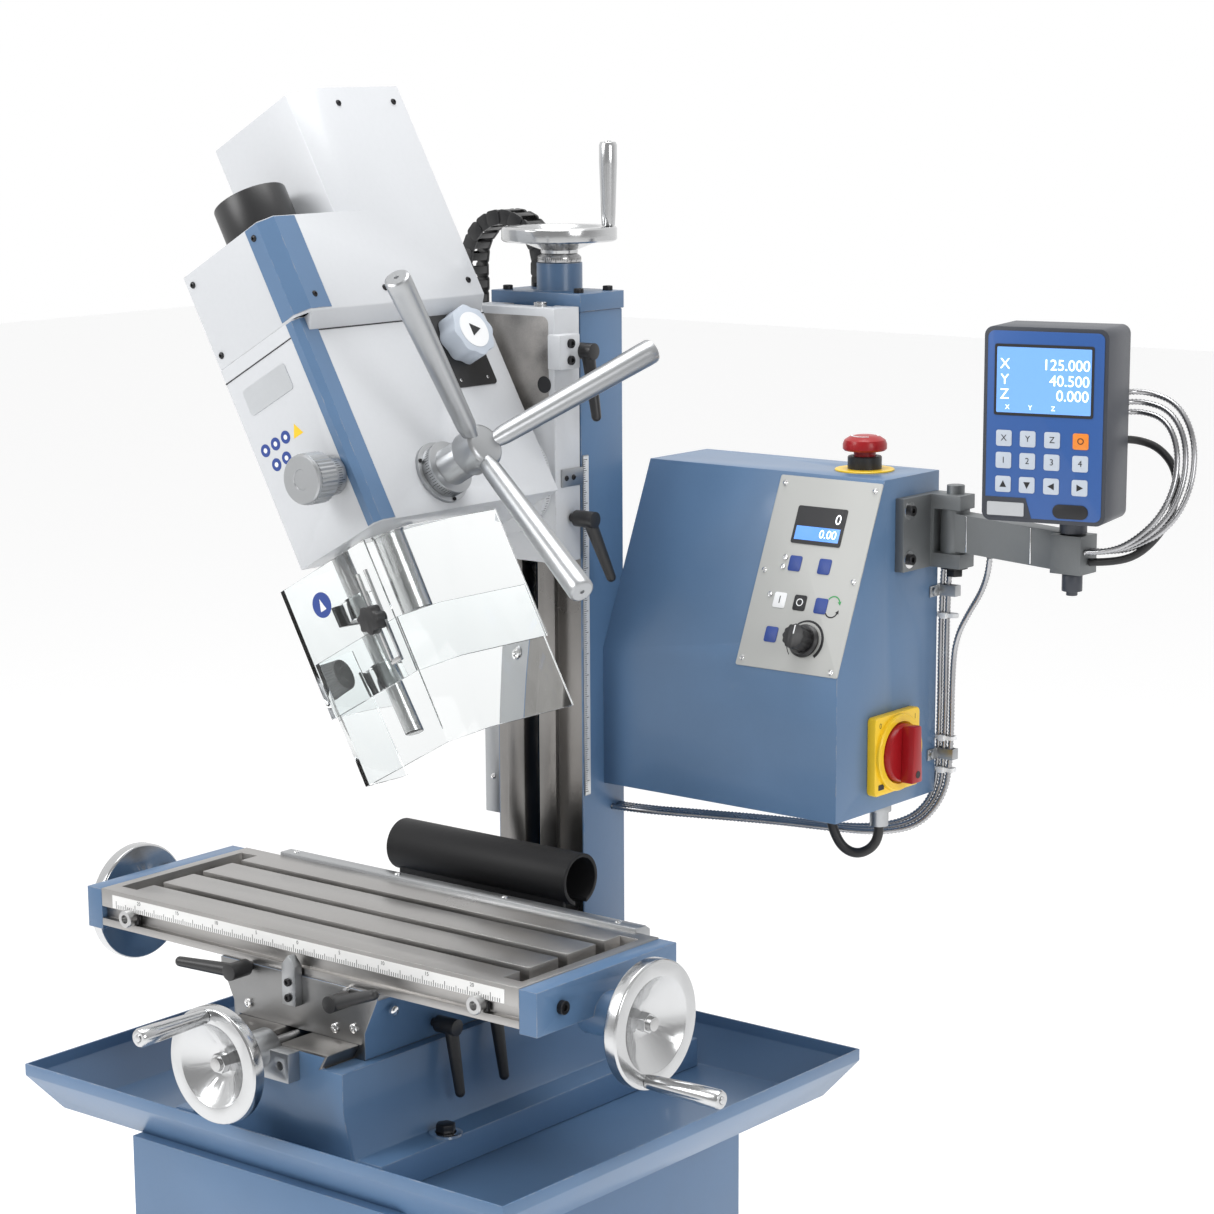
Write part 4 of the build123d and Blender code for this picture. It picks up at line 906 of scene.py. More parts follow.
# ---- studio ------------------------------------------------------------------------------------
@dataclass
class Studio:
    """Camera, pale floor and soft lights."""

    eye: Point = (1.8001, -2.0002, 1.6785)
    azimuth: float = 39.6
    pitch: float = 11.18
    roll: float = -0.48
    lens: float = 90.75
    shift: tuple = (0.0365, 0.0479)
    lamps: tuple = (
        ("key_light", (-1.5, -2.7, 3.0), 1.6, 62.0),
        ("side_light", (3.2, -0.9, 2.2), 1.2, 26.0),
        ("top_light", (0.1, 0.2, 3.6), 1.6, 40.0),
    )
    lamp_target: Point = (0, 0, 1.1)
    floor_half: float = 14.0

    def build(self) -> None:
        """Makes the studio."""
        a, p = math.radians(self.azimuth), math.radians(self.pitch)
        ahead = Vector((-math.sin(a) * math.cos(p), math.cos(a) * math.cos(p), -math.sin(p)))
        right = Vector((math.cos(a), math.sin(a), 0))
        up = right.cross(ahead)
        turn = Matrix((right, up, -ahead)).transposed() @ Matrix.Rotation(math.radians(self.roll), 3, "Z")
        data = bpy.data.cameras.new("camera")
        data.lens, data.sensor_width = self.lens, 36.0
        data.shift_x, data.shift_y = self.shift
        data.clip_start, data.clip_end = 0.05, 60
        cam = bpy.data.objects.new("camera", data)
        cam.matrix_world = Matrix.Translation(self.eye) @ turn.to_4x4()
        bpy.context.scene.collection.objects.link(cam)
        bpy.context.scene.camera = cam
        for name, place, size, power in self.lamps:
            light = bpy.data.lights.new(name, "AREA")
            light.size, light.energy = size, power
            lamp = bpy.data.objects.new(name, light)
            lamp.location = place
            ray = Vector(self.lamp_target) - Vector(place)
            lamp.rotation_euler = ray.to_track_quat("-Z", "Y").to_euler()
            bpy.context.scene.collection.objects.link(lamp)
        self.surroundings()
        bpy.context.scene.view_settings.view_transform = "Standard"
        bm = bmesh.new()
        bmesh.ops.create_grid(bm, x_segments=1, y_segments=1, size=self.floor_half)
        mesh = bpy.data.meshes.new("floor")
        bm.to_mesh(mesh)
        bm.free()
        floor = bpy.data.objects.new("floor", mesh)
        pale = Finish("floor_pale", (0.94, 0.94, 0.94), roughness=0.9, tone=0.0, bump=0.0, glow=0.2)
        mesh.materials.append(pale.build())
        bpy.context.scene.collection.objects.link(floor)

    def surroundings(self) -> None:
        """White behind the machine, greyer towards the operator, so that bright metal has shape."""
        world = bpy.data.worlds.new("studio")
        world.use_nodes = True
        g = Graph(world.node_tree)
        back = world.node_tree.nodes["Background"]
        dot = g.node("ShaderNodeVectorMath", operation="DOT_PRODUCT")
        dot.inputs[1].default_value = (-0.62, 0.75, 0.22)
        g.link(g.node("ShaderNodeTexCoord").outputs["Generated"], dot.inputs[0])
        level = g.node("ShaderNodeMapRange", interpolation_type="SMOOTHSTEP")
        level.inputs["From Min"].default_value = -0.7
        level.inputs["From Max"].default_value = 0.55
        level.inputs["To Min"].default_value = 0.42
        level.inputs["To Max"].default_value = 1.0
        g.link(dot.outputs["Value"], level.inputs["Value"])
        g.link(level.outputs["Result"], back.inputs["Strength"])
        back.inputs["Color"].default_value = (1.0, 1.0, 1.0, 1)
        bpy.context.scene.world = world


# ---- cords -------------------------------------------------------------------------------------
@dataclass
class Cords:
    """Armoured conduits, leads and cable loops with their clips and ties."""

    conduit_radius: float = 3.0
    lead_radius: float = 2.8
    cable_radius: float = 4.5
    tops: tuple = (
        ((384, 331.4, 1264), (360, 341, 1267), (336, 342.5, 1262), (319, 340, 1243), (314.5, 338, 1215)),
        ((386, 331.4, 1256), (364, 337.5, 1259), (341, 340, 1255), (325.5, 339.5, 1238), (321, 338, 1212)),
        ((376, 320, 1240), (374.5, 321, 1228), (364, 327, 1207), (347, 334, 1186), (333, 337.8, 1164),
         (327.5, 338, 1138)),
    )
    run: tuple = (
        ((314.5, 338, 1040), (6.5, 0, 0)), ((311, 334, 1010), (6.2, -1.5, -1)),
        ((299, 320, 990), (5.0, -3.8, -3)), ((275, 300, 982), (3.5, -5.6, -1.5)),
        ((240, 282, 981), (2.8, -6.2, 0)), ((195, 262, 984), (2.6, -6.3, 0)),
        ((150, 240, 986), (2.6, -6.3, 0)), ((110, 218, 988), (3, -6.2, 0)),
        ((82, 200, 990), (1, -6.2, 0)), ((52.4, 197, 990), (0, -6.2, 0)),
    )
    loop: tuple = ((300, 262, 994.5), (300, 262, 984), (294, 259, 972), (282, 253, 966), (270, 247, 972),
                   (262, 244, 988), (260, 243, 1001), (260, 242.5, 1012.5))
    leads: tuple = (
        ((488.9, 326.2, 1392), (-1, 0, -9)), ((489.5, 347, 1393), (-1, 0, -9)),
        ((507, 362, 1393), (-2, -2, -8.5)), ((535, 364, 1384), (-4, -4, -6.5)),
        ((556, 356, 1357), (-6, -4, -3)), ((561, 346, 1320), (-6.5, -3, 0)),
        ((551, 336, 1287), (-5, -4, 2)), ((528, 326, 1266), (-2, -6, 2)),
        ((504, 319, 1257), (0, -6.5, 1)), ((481.6, 317, 1257), (0, -6.5, 0)),
    )
    black: tuple = ((488, 326.5, 1352), (488.5, 345, 1352), (502, 357, 1351), (520, 361, 1345),
                    (538, 357, 1329), (545, 348, 1305), (540, 338, 1280), (526, 323, 1258),
                    (505, 316, 1249), (481.6, 312, 1247.5))

    @staticmethod
    def lane(run: tuple, k: int) -> list[Point]:
        """Route of one cord of a bundle."""
        return [tuple(p + k * s for p, s in zip(point, step)) for point, step in run]

    def tie(self, name: str, centre: Point, w: float, d: float) -> None:
        """A white strap round a bundle, held by the fixed frame.

        Args:
            name: Piece name.
            centre: Middle of the bundle.
            w: Outer width.
            d: Outer depth.
        """
        wall = 0.8
        outer, inner = rounded_rect(w, d, 3), rounded_rect(w - 2 * wall, d - 2 * wall, 3 - wall)
        bm = bmesh.new()
        rings = [[bm.verts.new((x, y, z)) for x, y in line] for line, z in
                 ((outer, -1.8), (outer, 1.8), (inner, 1.8), (inner, -1.8))]
        for a, b in zip(rings, rings[1:] + rings[:1]):
            for i in range(len(a)):
                j = (i + 1) % len(a)
                bm.faces.new((a[i], a[j], b[j], b[i]))
        bmesh.ops.recalc_face_normals(bm, faces=bm.faces)
        head = slab((-3, 3), (-d / 2 - 3.4, -d / 2 + 0.6), (-2.6, 2.6), 0.4)
        add(name, merged(bm, head), "root", Paint.INK_WHITE, at(*centre))

    def build(self) -> None:
        """Makes all cords."""
        first = None
        for k, top in enumerate(self.tops):
            path = spline(list(top) + self.lane(self.run, k), step=1.7)
            bm = hose(path, self.conduit_radius, 12, 0.75)
            obj = add(f"conduit_{k + 1}", bm, "", Paint.CONDUIT, smooth=80)
            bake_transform(obj)
            first = first or obj
        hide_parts("box_cables")
        supply = hose(spline(list(self.loop)), self.cable_radius, 20)
        add("supply_loop", supply, "root", Paint.CABLE, smooth=80)
        first = None
        routes = [(self.lane(self.leads, k), self.lead_radius, 0.65, Paint.CONDUIT) for k in range(3)]
        routes.append((list(self.black), self.lead_radius + 0.7, 0.0, Paint.CABLE))
        for k, (route, radius, ridge, which) in enumerate(routes):
            path = spline(route, step=1.6 if ridge else 2.5)
            obj = add(f"lead_{k + 1}", hose(path, radius, 12, ridge), "", which, smooth=80)
            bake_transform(obj)
            first = first or obj
        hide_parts("dro_cables")
        refined("cable_clips", Paint.SATIN, 0.25)
        for i, z in enumerate((1180, 1066, 1036)):
            self.tie(f"tie_{i + 1}", (321, 338, z), 22, 9.4)


# ---- stand, tray, base ---------------------------------------------------------------------------
@dataclass
class Stand:
    """Cabinet, door and chip tray."""

    hinge_at: tuple = (-123.0, -241.0)
    hinge_feet: tuple = (160.0, 370.0, 580.0)
    hinge_length: float = 40.0
    lock_at: Point = (88.0, -243.5, 470.0)

    def build(self) -> None:
        """Makes the stand."""
        refined("stand_cabinet", Paint.BLUE, 1.2)
        refined("stand_door", Paint.BLUE, 0.8)
        refined("chip_tray", Paint.BLUE, 0.7)
        for i, z in enumerate(self.hinge_feet):
            barrel = lathe([(0, 0), (4, 0), (4, self.hinge_length), (0, self.hinge_length)], 20)
            add(f"door_hinge_{i + 1}", barrel, "root", Paint.SCREW, at(*self.hinge_at, z))
        key = lathe([(0, 0), (9, 0), (9, 2), (7.5, 3), (0, 3)], 32)
        add("door_lock", key, "door", Paint.CHROME, aim(self.lock_at, Axis.FRONT))


@dataclass
class Base:
    """Base casting, cross way, saddle and their small parts."""

    bolt_x: float = 114.0
    bolt_y: tuple = (-126.0, 172.0)
    foot_top: float = BASE_Z + 28
    saddle_front: float = -188.0

    def build(self) -> None:
        """Makes the base and the saddle."""
        refined("base_casting", Paint.BLUE_CAST, 2.2)
        sides = (-self.bolt_x, self.bolt_x)
        bolts = [(hex_bolt(9, 8), at(x, y, self.foot_top)) for x in sides for y in self.bolt_y]
        add("bolts", merged(*bolts), "root", Paint.SCREW, replaces=("base_bolts",))
        for x in sides:
            for y in self.bolt_y:
                washer = lathe([(9.5, 0), (14.5, 0), (14.5, 2.2), (13.8, 2.6), (9.5, 2.6)], 40)
                add(f"washer_{'r' if x > 0 else 'l'}_{'f' if y < 0 else 'b'}", washer, "root", Paint.CHROME,
                    at(x, y, self.foot_top - 0.2))
        refined("y_screw_bracket", Paint.SATIN, 1.0)
        refined("feed_nuts", Paint.BRONZE, 0.4)
        refined("y_leadscrew", Paint.STEEL, 0.4)
        refined("y_handwheel", Paint.ALUMINIUM, 0.5)
        refined("y_grip", Paint.ALUMINIUM, 0.5)
        saddle = refined("saddle", Paint.BLUE_CAST, 0.8)
        iron = paint(Paint.WAYS)
        saddle.data.materials.append(iron)
        for face in saddle.data.polygons:
            if face.center.z > 0.9049 or face.normal.y < -0.9 or face.center.z < 0.8445:
                face.material_index = 1
        base = bpy.data.objects["base_casting_looks"]
        base.data.materials.append(paint(Paint.DARK_WAY))
        for face in base.data.polygons:
            if face.center.z > 0.8431:
                face.material_index = 1
        add("cross_dial_marks", ring_marks(17.05, 1, 6, 40), "y_screw", Paint.INK,
            aim((0, -256.5, 850), Axis.FRONT))
        block = prism([(-8, -20), (8, -20), (8, 16), (0, 25), (-8, 16)], 0, 9, 0.6)
        add("pointer_block", block, "saddle", Paint.SATIN,
            facing((-2, self.saddle_front, 899), Axis.RIGHT, Axis.UP))
        for i, z in enumerate((886, 900)):
            add(f"pointer_screw_{i + 1}", socket_screw(3.6, 2.4), "saddle", Paint.SCREW,
                aim((-2, -197, z), Axis.FRONT))
        for i, (x, z) in enumerate(((67, 870), (45, 866), (-60, 868))):
            cup = lathe([(0, 0), (4.2, 0), (4.2, 1.8), (3.2, 2.4), (2, 2.4), (1.6, 1.2), (0, 1.5)], 24)
            add(f"oil_cup_{i + 1}", cup, "saddle", Paint.CHROME, aim((x, self.saddle_front, z), Axis.FRONT))
        cup = lathe([(0, 0), (4.6, 0), (4.6, 2.4), (3.4, 3.2), (0, 3.4)], 24)
        add("oil_cup_side", cup, "saddle", Paint.CHROME, aim((93.5, -168, 886), Axis.RIGHT))
        apron = refined("way_apron", Paint.RUBBER, 0.5)
        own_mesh(apron)
        for name in ("x_lock_lever_left", "x_lock_lever_right", "y_lock_lever_front", "y_lock_lever_rear",
                     "z_lock_lever_upper", "z_lock_lever_lower"):
            refined(name, Paint.BLACK, 0.6, 40)


# ---- table -----------------------------------------------------------------------------------------
@dataclass
class Table:
    """Table with its ruler, stops, caps, screws and wheels."""

    front: float = -186.0
    cap_face: float = 268.8
    dial_x: float = 285.5
    ruler_step: float = 50.0

    def build(self) -> None:
        """Makes the table."""
        refined("table", Paint.TABLE, 0.5)
        refined("table_end_caps", Paint.BLUE_CAST, 1.6)
        refined("x_leadscrew", Paint.STEEL, 0.4)
        refined("x_handwheels", Paint.ALUMINIUM, 0.5)
        refined("x_grip", Paint.ALUMINIUM, 0.5)
        refined("table_scale_cover", Paint.SATIN, 0.8)
        place = facing((0, self.front, 930), Axis.RIGHT, Axis.UP)
        add("table_ruler", flat(470, 12, 0, 0.6), "table", Paint.STRIP, place)
        stamp("table_ruler_marks", ruler(460, 11, 2.5), "table", Paint.INK, place @ at(0, -5.8, 0.66))
        for i in range(-4, 5):
            stamp(f"table_ruler_{i + 5}", letters(str(abs(i) * 5), 3.4), "table", Paint.INK,
                  place @ at(i * self.ruler_step, 3.4, 0.65))
        for name, x in (("left", -212.0), ("right", 207.0)):
            stop = lathe([(0, 0), (8, 0), (8, 12), (7.4, 12.6), (4, 12.6), (3.8, 7), (0, 6.8)], 36)
            add(f"table_stop_{name}", stop, "table", Paint.STEEL, aim((x, -181, 918.5), Axis.FRONT))
            nut = slab((-9, 9), (-5, 5), (0, 3), 0.4)
            add(f"table_stop_nut_{name}", nut, "table", Paint.SCREW,
                facing((x, -182, 918), Axis.RIGHT, Axis.UP))
        for side, axis in ((1, Axis.RIGHT), (-1, Axis.LEFT)):
            for y in (-62, 62):
                add(f"cap_screw_{side + 1}_{y + 62}", socket_screw(6, 5), "table", Paint.SCREW,
                    aim((side * self.cap_face, TABLE_Y + y, 920), axis))
        marks = ring_marks(17.05, 0.6, 5.4, 50)
        add("table_dial_marks", marks, "x_screw", Paint.INK, aim((self.dial_x, TABLE_Y, 899), Axis.RIGHT))
        pin = lathe([(0, 0), (2.4, 0), (2.4, 5), (0, 5)], 16)
        add("table_zero_pin", pin, "table", Paint.CHROME, aim((60, self.front, 903), Axis.FRONT))
        for i, x in enumerate((-190, -60, 70, 200)):
            add(f"cover_screw_{i + 1}", button_screw(3), "table", Paint.CHROME,
                aim((x, TABLE_Y + 93 + 7, 943), Axis.UP))


# ---- column ----------------------------------------------------------------------------------------
@dataclass
class Column:
    """Column with its way, scales, screw, wheel, chain and slide."""

    side: float = 52.0
    chain_x: float = -98.0
    chain_y: float = 208.0
    chain_turn_z: float = 1490.0
    chain_radius: float = 44.0
    link_pitch: float = 13.5
    chain_foot: float = 1381.0
    chain_end: float = 1266.0

    def build(self) -> None:
        """Makes the column and the vertical slide."""
        column = refined("column", Paint.BLUE_CAST, 1.6)
        column.data.materials.append(paint(Paint.DARK_WAY))
        for face in column.data.polygons:
            if face.center.y < 0.1422:
                face.material_index = 1
        refined("column_cap", Paint.BLUE_CAST, 1.4)
        refined("column_scales", Paint.SATIN, 0.4)
        refined("z_leadscrew", Paint.STEEL, 0.4)
        refined("z_handwheel", Paint.ALUMINIUM, 0.5)
        refined("z_grip", Paint.ALUMINIUM, 0.5)
        self.chain()
        strip = Matrix.Translation((self.side + 1.25, COLUMN_FRONT + 1, 1167)) @ Matrix(
            ((0, 0, 1), (0, 1, 0), (-1, 0, 0))).to_4x4()
        stamp("height_strip", slab((0.05, 0.3), (0.4, 7.6), (-158, 158), 0.0), "root", Paint.STRIP,
              at(self.side + 1.2, COLUMN_FRONT + 1, 1167))
        stamp("height_marks", ruler(310, 9, 2.0), "root", Paint.INK, at(0.35, 0, 0) @ strip)
        stamp("lift_dial_marks", ring_marks(20.05, 0.6, 4.4, 60), "z_screw", Paint.INK,
              aim((0, 176, 1497.5), Axis.UP))
        slide = refined("z_slide", Paint.WHITE, 1.6)
        slide.data.materials.append(paint(Paint.WAYS))
        for face in slide.data.polygons:
            if face.center.y > 0.1285 and abs(face.center.x) < 0.034:
                face.material_index = 1
        patch = prism(rounded_rect(92, 92, 7), 0, 0.35)
        add("slide_bare_front", patch, "z_slide", Paint.MOTTLED,
            facing((-1, 105, 1408), Axis.RIGHT, Axis.UP))
        # A flat black disc as painted shade inside the hole in the slide's front.
        hole_shade = lathe([(0, 0), (7.6, 0), (7.6, 0.5), (0, 0.5)], 32)
        add("slide_hole", hole_shade, "z_slide", Paint.INK, aim((40, 104.9, 1393), Axis.FRONT))
        add("slide_screw", slotted_screw(6, 4), "z_slide", Paint.STEEL, aim((22, 122, 1461), Axis.UP))
        stop = slab((0, 15), (95, 123), (1408, 1439), 1.2)
        add("lift_stop", stop, "z_slide", Paint.WHITE, at(52, 0, 0))
        for i, z in enumerate((1416, 1431)):
            add(f"lift_stop_screw_{i + 1}", socket_screw(4.2, 3), "z_slide", Paint.SCREW,
                aim((67, 109, z), Axis.RIGHT))
        plate = slab((0, 2), (0, 30), (0, 16), 0.3)
        add("lift_pointer", plate, "z_slide", Paint.SATIN, at(52.2, 112, 1300))
        for i, y in enumerate((118, 128)):
            add(f"lift_pointer_screw_{i + 1}", button_screw(2.6), "z_slide", Paint.SCREW,
                aim((54.2, y, 1308), Axis.RIGHT))
        for i, x in enumerate((-42, 42)):
            for j, y in enumerate((152, 194)):
                add(f"cap_bolt_{i}_{j}", socket_screw(4.6, 4.2), "root", Paint.SCREW,
                    aim((x, y, CAP_TOP), Axis.UP))
        for i, z in enumerate((1010, 1120, 1230, 1340, 1420)):
            add(f"scale_screw_{i + 1}", button_screw(2.8), "root", Paint.CHROME,
                aim((-62, COLUMN_FRONT + 4, z), Axis.FRONT))

    def chain(self) -> None:
        """Cable chain made of separate links over the band of the frame."""
        x, y, mid, radius = self.chain_x, self.chain_y, self.chain_turn_z, self.chain_radius
        left, right, turn = mid - self.chain_foot, mid - self.chain_end, math.pi * radius
        total, links = left + turn + right, []
        for i in range(int(total / self.link_pitch)):
            s = (i + 0.5) * self.link_pitch
            if s < left:
                place = at(x - radius, y, mid - left + s)
            elif s < left + turn:
                a = (s - left) / radius
                place = at(x - radius * math.cos(a), y, mid + radius * math.sin(a))
                place = place @ Matrix.Rotation(a, 4, "Y")
            else:
                place = at(x + radius, y, mid - (s - left - turn)) @ Matrix.Rotation(math.pi, 4, "Y")
            step = 0.0 if i % 2 else 0.8
            for edge in (2.8 - step, 25.0 + step):
                links.append((prism(rounded_rect(14.4, 15.6, 4), 0, 2.8, 0.4),
                              place @ facing((0, edge, 0), Axis.RIGHT, Axis.UP)))
            links.append((slab((-7, -5.2), (2, 23), (-3.4, 3.4), 0.4), place))
            links.append((slab((5.2, 7), (2, 23), (-3.4, 3.4), 0.4), place))
        add("energy_chain_looks", merged(*links), "root", Paint.BLACK, replaces=("energy_chain",))


# ---- head ------------------------------------------------------------------------------------------
@dataclass
class Head:
    """Tilting head: casting, cover, spindle, feed handle and guards."""

    half: float = 52.0
    front: float = -140.0
    spoke_start: float = 132.4
    spoke_lean: float = 27.4
    spoke_length: float = 193.0
    pinion_y: float = -43.0
    guard_front: float = -168.0

    def build(self) -> None:
        """Makes the head."""
        refined("head_casting", Paint.WHITE, 1.2)
        refined("top_cover", Paint.WHITE, 1.0)
        refined("drawbar_cap", Paint.BLACK, 1.6)
        for node, which in (("drive_motor", Paint.MOTOR), ("drive_belt", Paint.RUBBER),
                            ("motor_pulley", Paint.SATIN), ("spindle_pulley", Paint.SATIN),
                            ("quill", Paint.STEEL), ("spindle", Paint.STEEL), ("guard_rod", Paint.STEEL),
                            ("feed_ring", Paint.SATIN), ("feed_hub", Paint.SATIN)):
            refined(node, which, 0.4)
        self.spokes()
        self.cover_trim()
        self.feed()
        self.knobs()
        self.guards()

    def cover_trim(self) -> None:
        """Blue corner bands, seam, screws and blank labels."""
        band = prism([(37, -140.5), (53.2, -140.5), (64.5, -129.2), (64.5, -104), (63.9, -104),
                      (63.9, -129), (53, -139.9), (37, -139.9)], 159, 246)
        add("blue_band_cover", band, "head", Paint.BLUE, HEAD)
        low = prism([(40, -140.5), (47.2, -140.5), (52.5, -135.2), (52.5, -118), (51.9, -118), (51.9, -135),
                     (47, -139.9), (40, -139.9)], -32, 156)
        add("blue_band_head", low, "head", Paint.BLUE, HEAD)
        seam_and_highlight = prism([(-52.3, -140.35), (47.3, -140.35), (52.4, -135.3), (52.4, 97), (51.9, 97),
                      (51.9, -135), (47, -139.9), (-52.3, -139.9)], 143.4, 144.4)
        add("head_seam", seam_and_highlight, "head", Paint.INK, HEAD)
        for i, (y, z) in enumerate(((-118, 172), (-30, 172), (80, 172), (80, 352), (8, 352))):
            add(f"cover_screw_side_{i + 1}", button_screw(3), "head", Paint.SCREW,
                HEAD @ aim((64, y, z), Axis.RIGHT))
        for i, (x, z) in enumerate(((-44, 236), (44, 236), (-44, 168))):
            add(f"cover_screw_front_{i + 1}", button_screw(3), "head", Paint.SCREW,
                HEAD @ aim((x, self.front - (0.5 if x > 37 else 0), z), Axis.FRONT))
        add("nameplate_blank", flat(58, 24, 3, 0.6), "head", Paint.LABEL,
            HEAD @ facing((-8, self.front, 118), Axis.RIGHT, Axis.UP))
        for i, (x, z) in enumerate(((-38, 74), (-24, 74), (-10, 74), (-32, 58), (-18, 58))):
            dot = lathe([(0, 0), (5.6, 0), (5.6, 0.2), (0, 0.2)], 40)
            stamp(f"head_dot_{i + 1}", dot, "head", Paint.INK_BLUE,
                  HEAD @ aim((x, self.front, z), Axis.FRONT))
            core = lathe([(0, 0), (2.2, 0), (2.2, 0.1), (0, 0.1)], 24)
            stamp(f"head_dot_core_{i + 1}", core, "head", Paint.INK_WHITE,
                  HEAD @ aim((x, self.front - 0.22, z), Axis.FRONT))
        warn = prism([(-6.4, -5.5), (6.4, -5.5), (0, 5.6)], 0, 0.2)
        stamp("head_triangle", warn, "head", Paint.YELLOW,
              HEAD @ facing((5, self.front, 74), Axis.RIGHT, Axis.UP))
        flange = lathe([(0, 0), (30, 0), (30, 2.4), (29, 3), (0, 3)], 64)
        add("pinion_cover_left", flange, "head", Paint.SATIN,
            HEAD @ aim((-self.half, self.pinion_y, 0), Axis.LEFT))
        for i in range(3):
            a = math.radians(90 + 120 * i)
            add(f"pinion_cover_screw_{i + 1}", button_screw(2.6), "head", Paint.SCREW,
                HEAD @ aim((-self.half - 3, self.pinion_y + 23 * math.cos(a), 23 * math.sin(a)), Axis.LEFT))
        arc = ring_marks(48.05, 0, 5, 120)
        stamp("tilt_marks", arc, "head", Paint.INK, HEAD @ aim((0, 98, 0), Axis.BACK))

    def feed(self) -> None:
        """Graduated ring, its screws and the hub's cap."""
        stamp("feed_marks", ring_marks(24.05, 0.8, 8, 60), "feed_handle", Paint.INK,
              HEAD @ aim((self.half + 4, self.pinion_y, 0), Axis.RIGHT))
        for i in range(3):
            a = math.radians(30 + 120 * i)
            centre = (self.half + 3.6, self.pinion_y + 26 * math.cos(a), 26 * math.sin(a))
            add(f"feed_ring_screw_{i + 1}", socket_screw(1.7, 1.6), "head", Paint.SCREW,
                HEAD @ aim(centre, Axis.RIGHT))
        cap = lathe([(0, -22), (18.5, -22), (19.5, -20), (19.5, -1), (18, 1.2), (15, 2.6), (0, 3.4)], 64)
        add("feed_hub_cap", cap, "feed_handle", Paint.SATIN, HEAD @ aim((111, self.pinion_y, 0), Axis.RIGHT))

    def spokes(self) -> None:
        """Three round bars, tapered towards the hub, with a rounded collar at the root."""
        parts = []
        for k in range(3):
            turn = Matrix.Rotation(math.radians(self.spoke_start - 120 * k - 90), 4, "X")
            lean = Matrix.Rotation(math.radians(self.spoke_lean), 4, "Y")
            end = self.spoke_length
            bar = lathe([(0, 8), (6, 8), (6.4, 16), (8.2, 26), (8.6, 30), (11.2, end - 10), (11.2, end - 3),
                         (10.6, end - 1), (9, end), (2, end), (1.6, end - 1.5), (0, end - 1.5)], 40)
            parts.append((bar, at(self.half + 49, self.pinion_y, 0) @ turn @ lean))
        add("feed_spokes_looks", merged(*parts), "feed_handle", Paint.SATIN, HEAD,
            replaces=("feed_spokes",))

    def knobs(self) -> None:
        """Fine feed knob with its knurl and the range selector with its plate."""
        hub = lathe([(0, 0), (17, 0), (17, 16), (0, 16)], 64)
        grip = prism(lobed(21.9, 0.7, 36, 144), 16, 34)
        face = lathe([(0, 33), (21.2, 33), (21.2, 36.6), (20, 38), (9, 38), (8.4, 37.2), (0, 37.2)], 64)
        add("fine_feed_looks", merged(hub, grip, face), "fine_knob", Paint.SATIN,
            HEAD @ aim((26, self.front - 2.5, 22), Axis.FRONT), replaces=("fine_feed_knob",), smooth=24)
        stamp("fine_feed_marks", ring_marks(17.05, 2, 9, 50), "fine_knob", Paint.INK,
              HEAD @ aim((26, self.front - 2.5, 22), Axis.FRONT))
        place = HEAD @ aim((self.half, 48, 120), Axis.RIGHT)
        add("selector_plate", prism(rounded_rect(86, 56, 4), 0, 1.2, 0.3), "head", Paint.BLACK,
            place @ at(2, 0, 0))
        knob = prism(lobed(24.9, 2.2, 8, 96), 1.5, 22.4, 1.0)
        add("selector_looks", knob, "selector", Paint.KEY, place, replaces=("selector_knob",),
            smooth=40)
        add("selector_disc", lathe([(0, 0), (17, 0), (17, 0.5), (0, 0.5)], 48), "selector", Paint.INK_WHITE,
            place @ at(0, 0, 22.4))
        arrow = prism([(-6, -4), (6, -4), (0, 8)], 0, 0.3)
        stamp("selector_arrow", arrow, "selector", Paint.INK, place @ at(0, 0, 22.9))
        tag = HEAD @ facing((self.half, 48, 82), Axis.BACK, Axis.UP)
        add("selector_tag", flat(44, 13, 2, 0.6), "head", Paint.LABEL, tag)
        for i, x in enumerate((-18, 18)):
            add(f"selector_rivet_{i + 1}", button_screw(1.8), "head", Paint.CHROME, tag @ at(x, 0, 0.6))

    def guards(self) -> None:
        """Clear guards with their brackets and knobs."""
        refined("guard_upper", Paint.CLEAR, 0.3)
        refined("guard_lower", Paint.CLEAR, 0.3)
        for i, z in enumerate((-89, -147)):
            bar = slab((-61.5, -58), (-112, -86), (z, z + 16), 0.6)
            add(f"guard_bracket_{i + 1}", bar, "guard", Paint.BLACK, HEAD)
            for j, y in enumerate((-107, -91)):
                add(f"guard_screw_{i}_{j}", button_screw(3.4), "guard", Paint.SCREW,
                    HEAD @ aim((-61.5, y, z + 8), Axis.LEFT))
        side = merged(prism(lobed(10.5, 0.6, 30, 120), 3, 21), lathe([(0, 0), (5, 0), (5, 3), (0, 3)], 24))
        add("guard_side_knob", side, "guard", Paint.BLACK, HEAD @ aim((-61, -126, -130), Axis.LEFT),
            smooth=24)
        knob = merged(prism(lobed(12.5, 2.4, 7, 84), 6, 17, 1.0),
                      lathe([(0, 0), (7, 0), (7, 6), (0, 6)], 32))
        add("guard_height_knob", knob, "guard", Paint.BLACK,
            HEAD @ aim((40, self.guard_front, -112), Axis.FRONT), smooth=40)
        depth = (self.guard_front - 3.5, self.guard_front)
        slot = merged(slab((34, 36), depth, (-150, -70), 0.4), slab((44, 46), depth, (-150, -70), 0.4),
                      slab((34, 46), depth, (-152, -148), 0.4))
        add("guard_slot_bracket", slot, "guard", Paint.STEEL, HEAD)
        dot = lathe([(0, 0), (11, 0), (11, 0.25), (0, 0.25)], 48)
        stamp("guard_sticker", dot, "guard", Paint.INK_BLUE,
              HEAD @ aim((-18, self.guard_front, -76), Axis.FRONT))
        hand = prism([(-3.6, -5), (3.6, -5), (0, 5.4)], 0, 0.2)
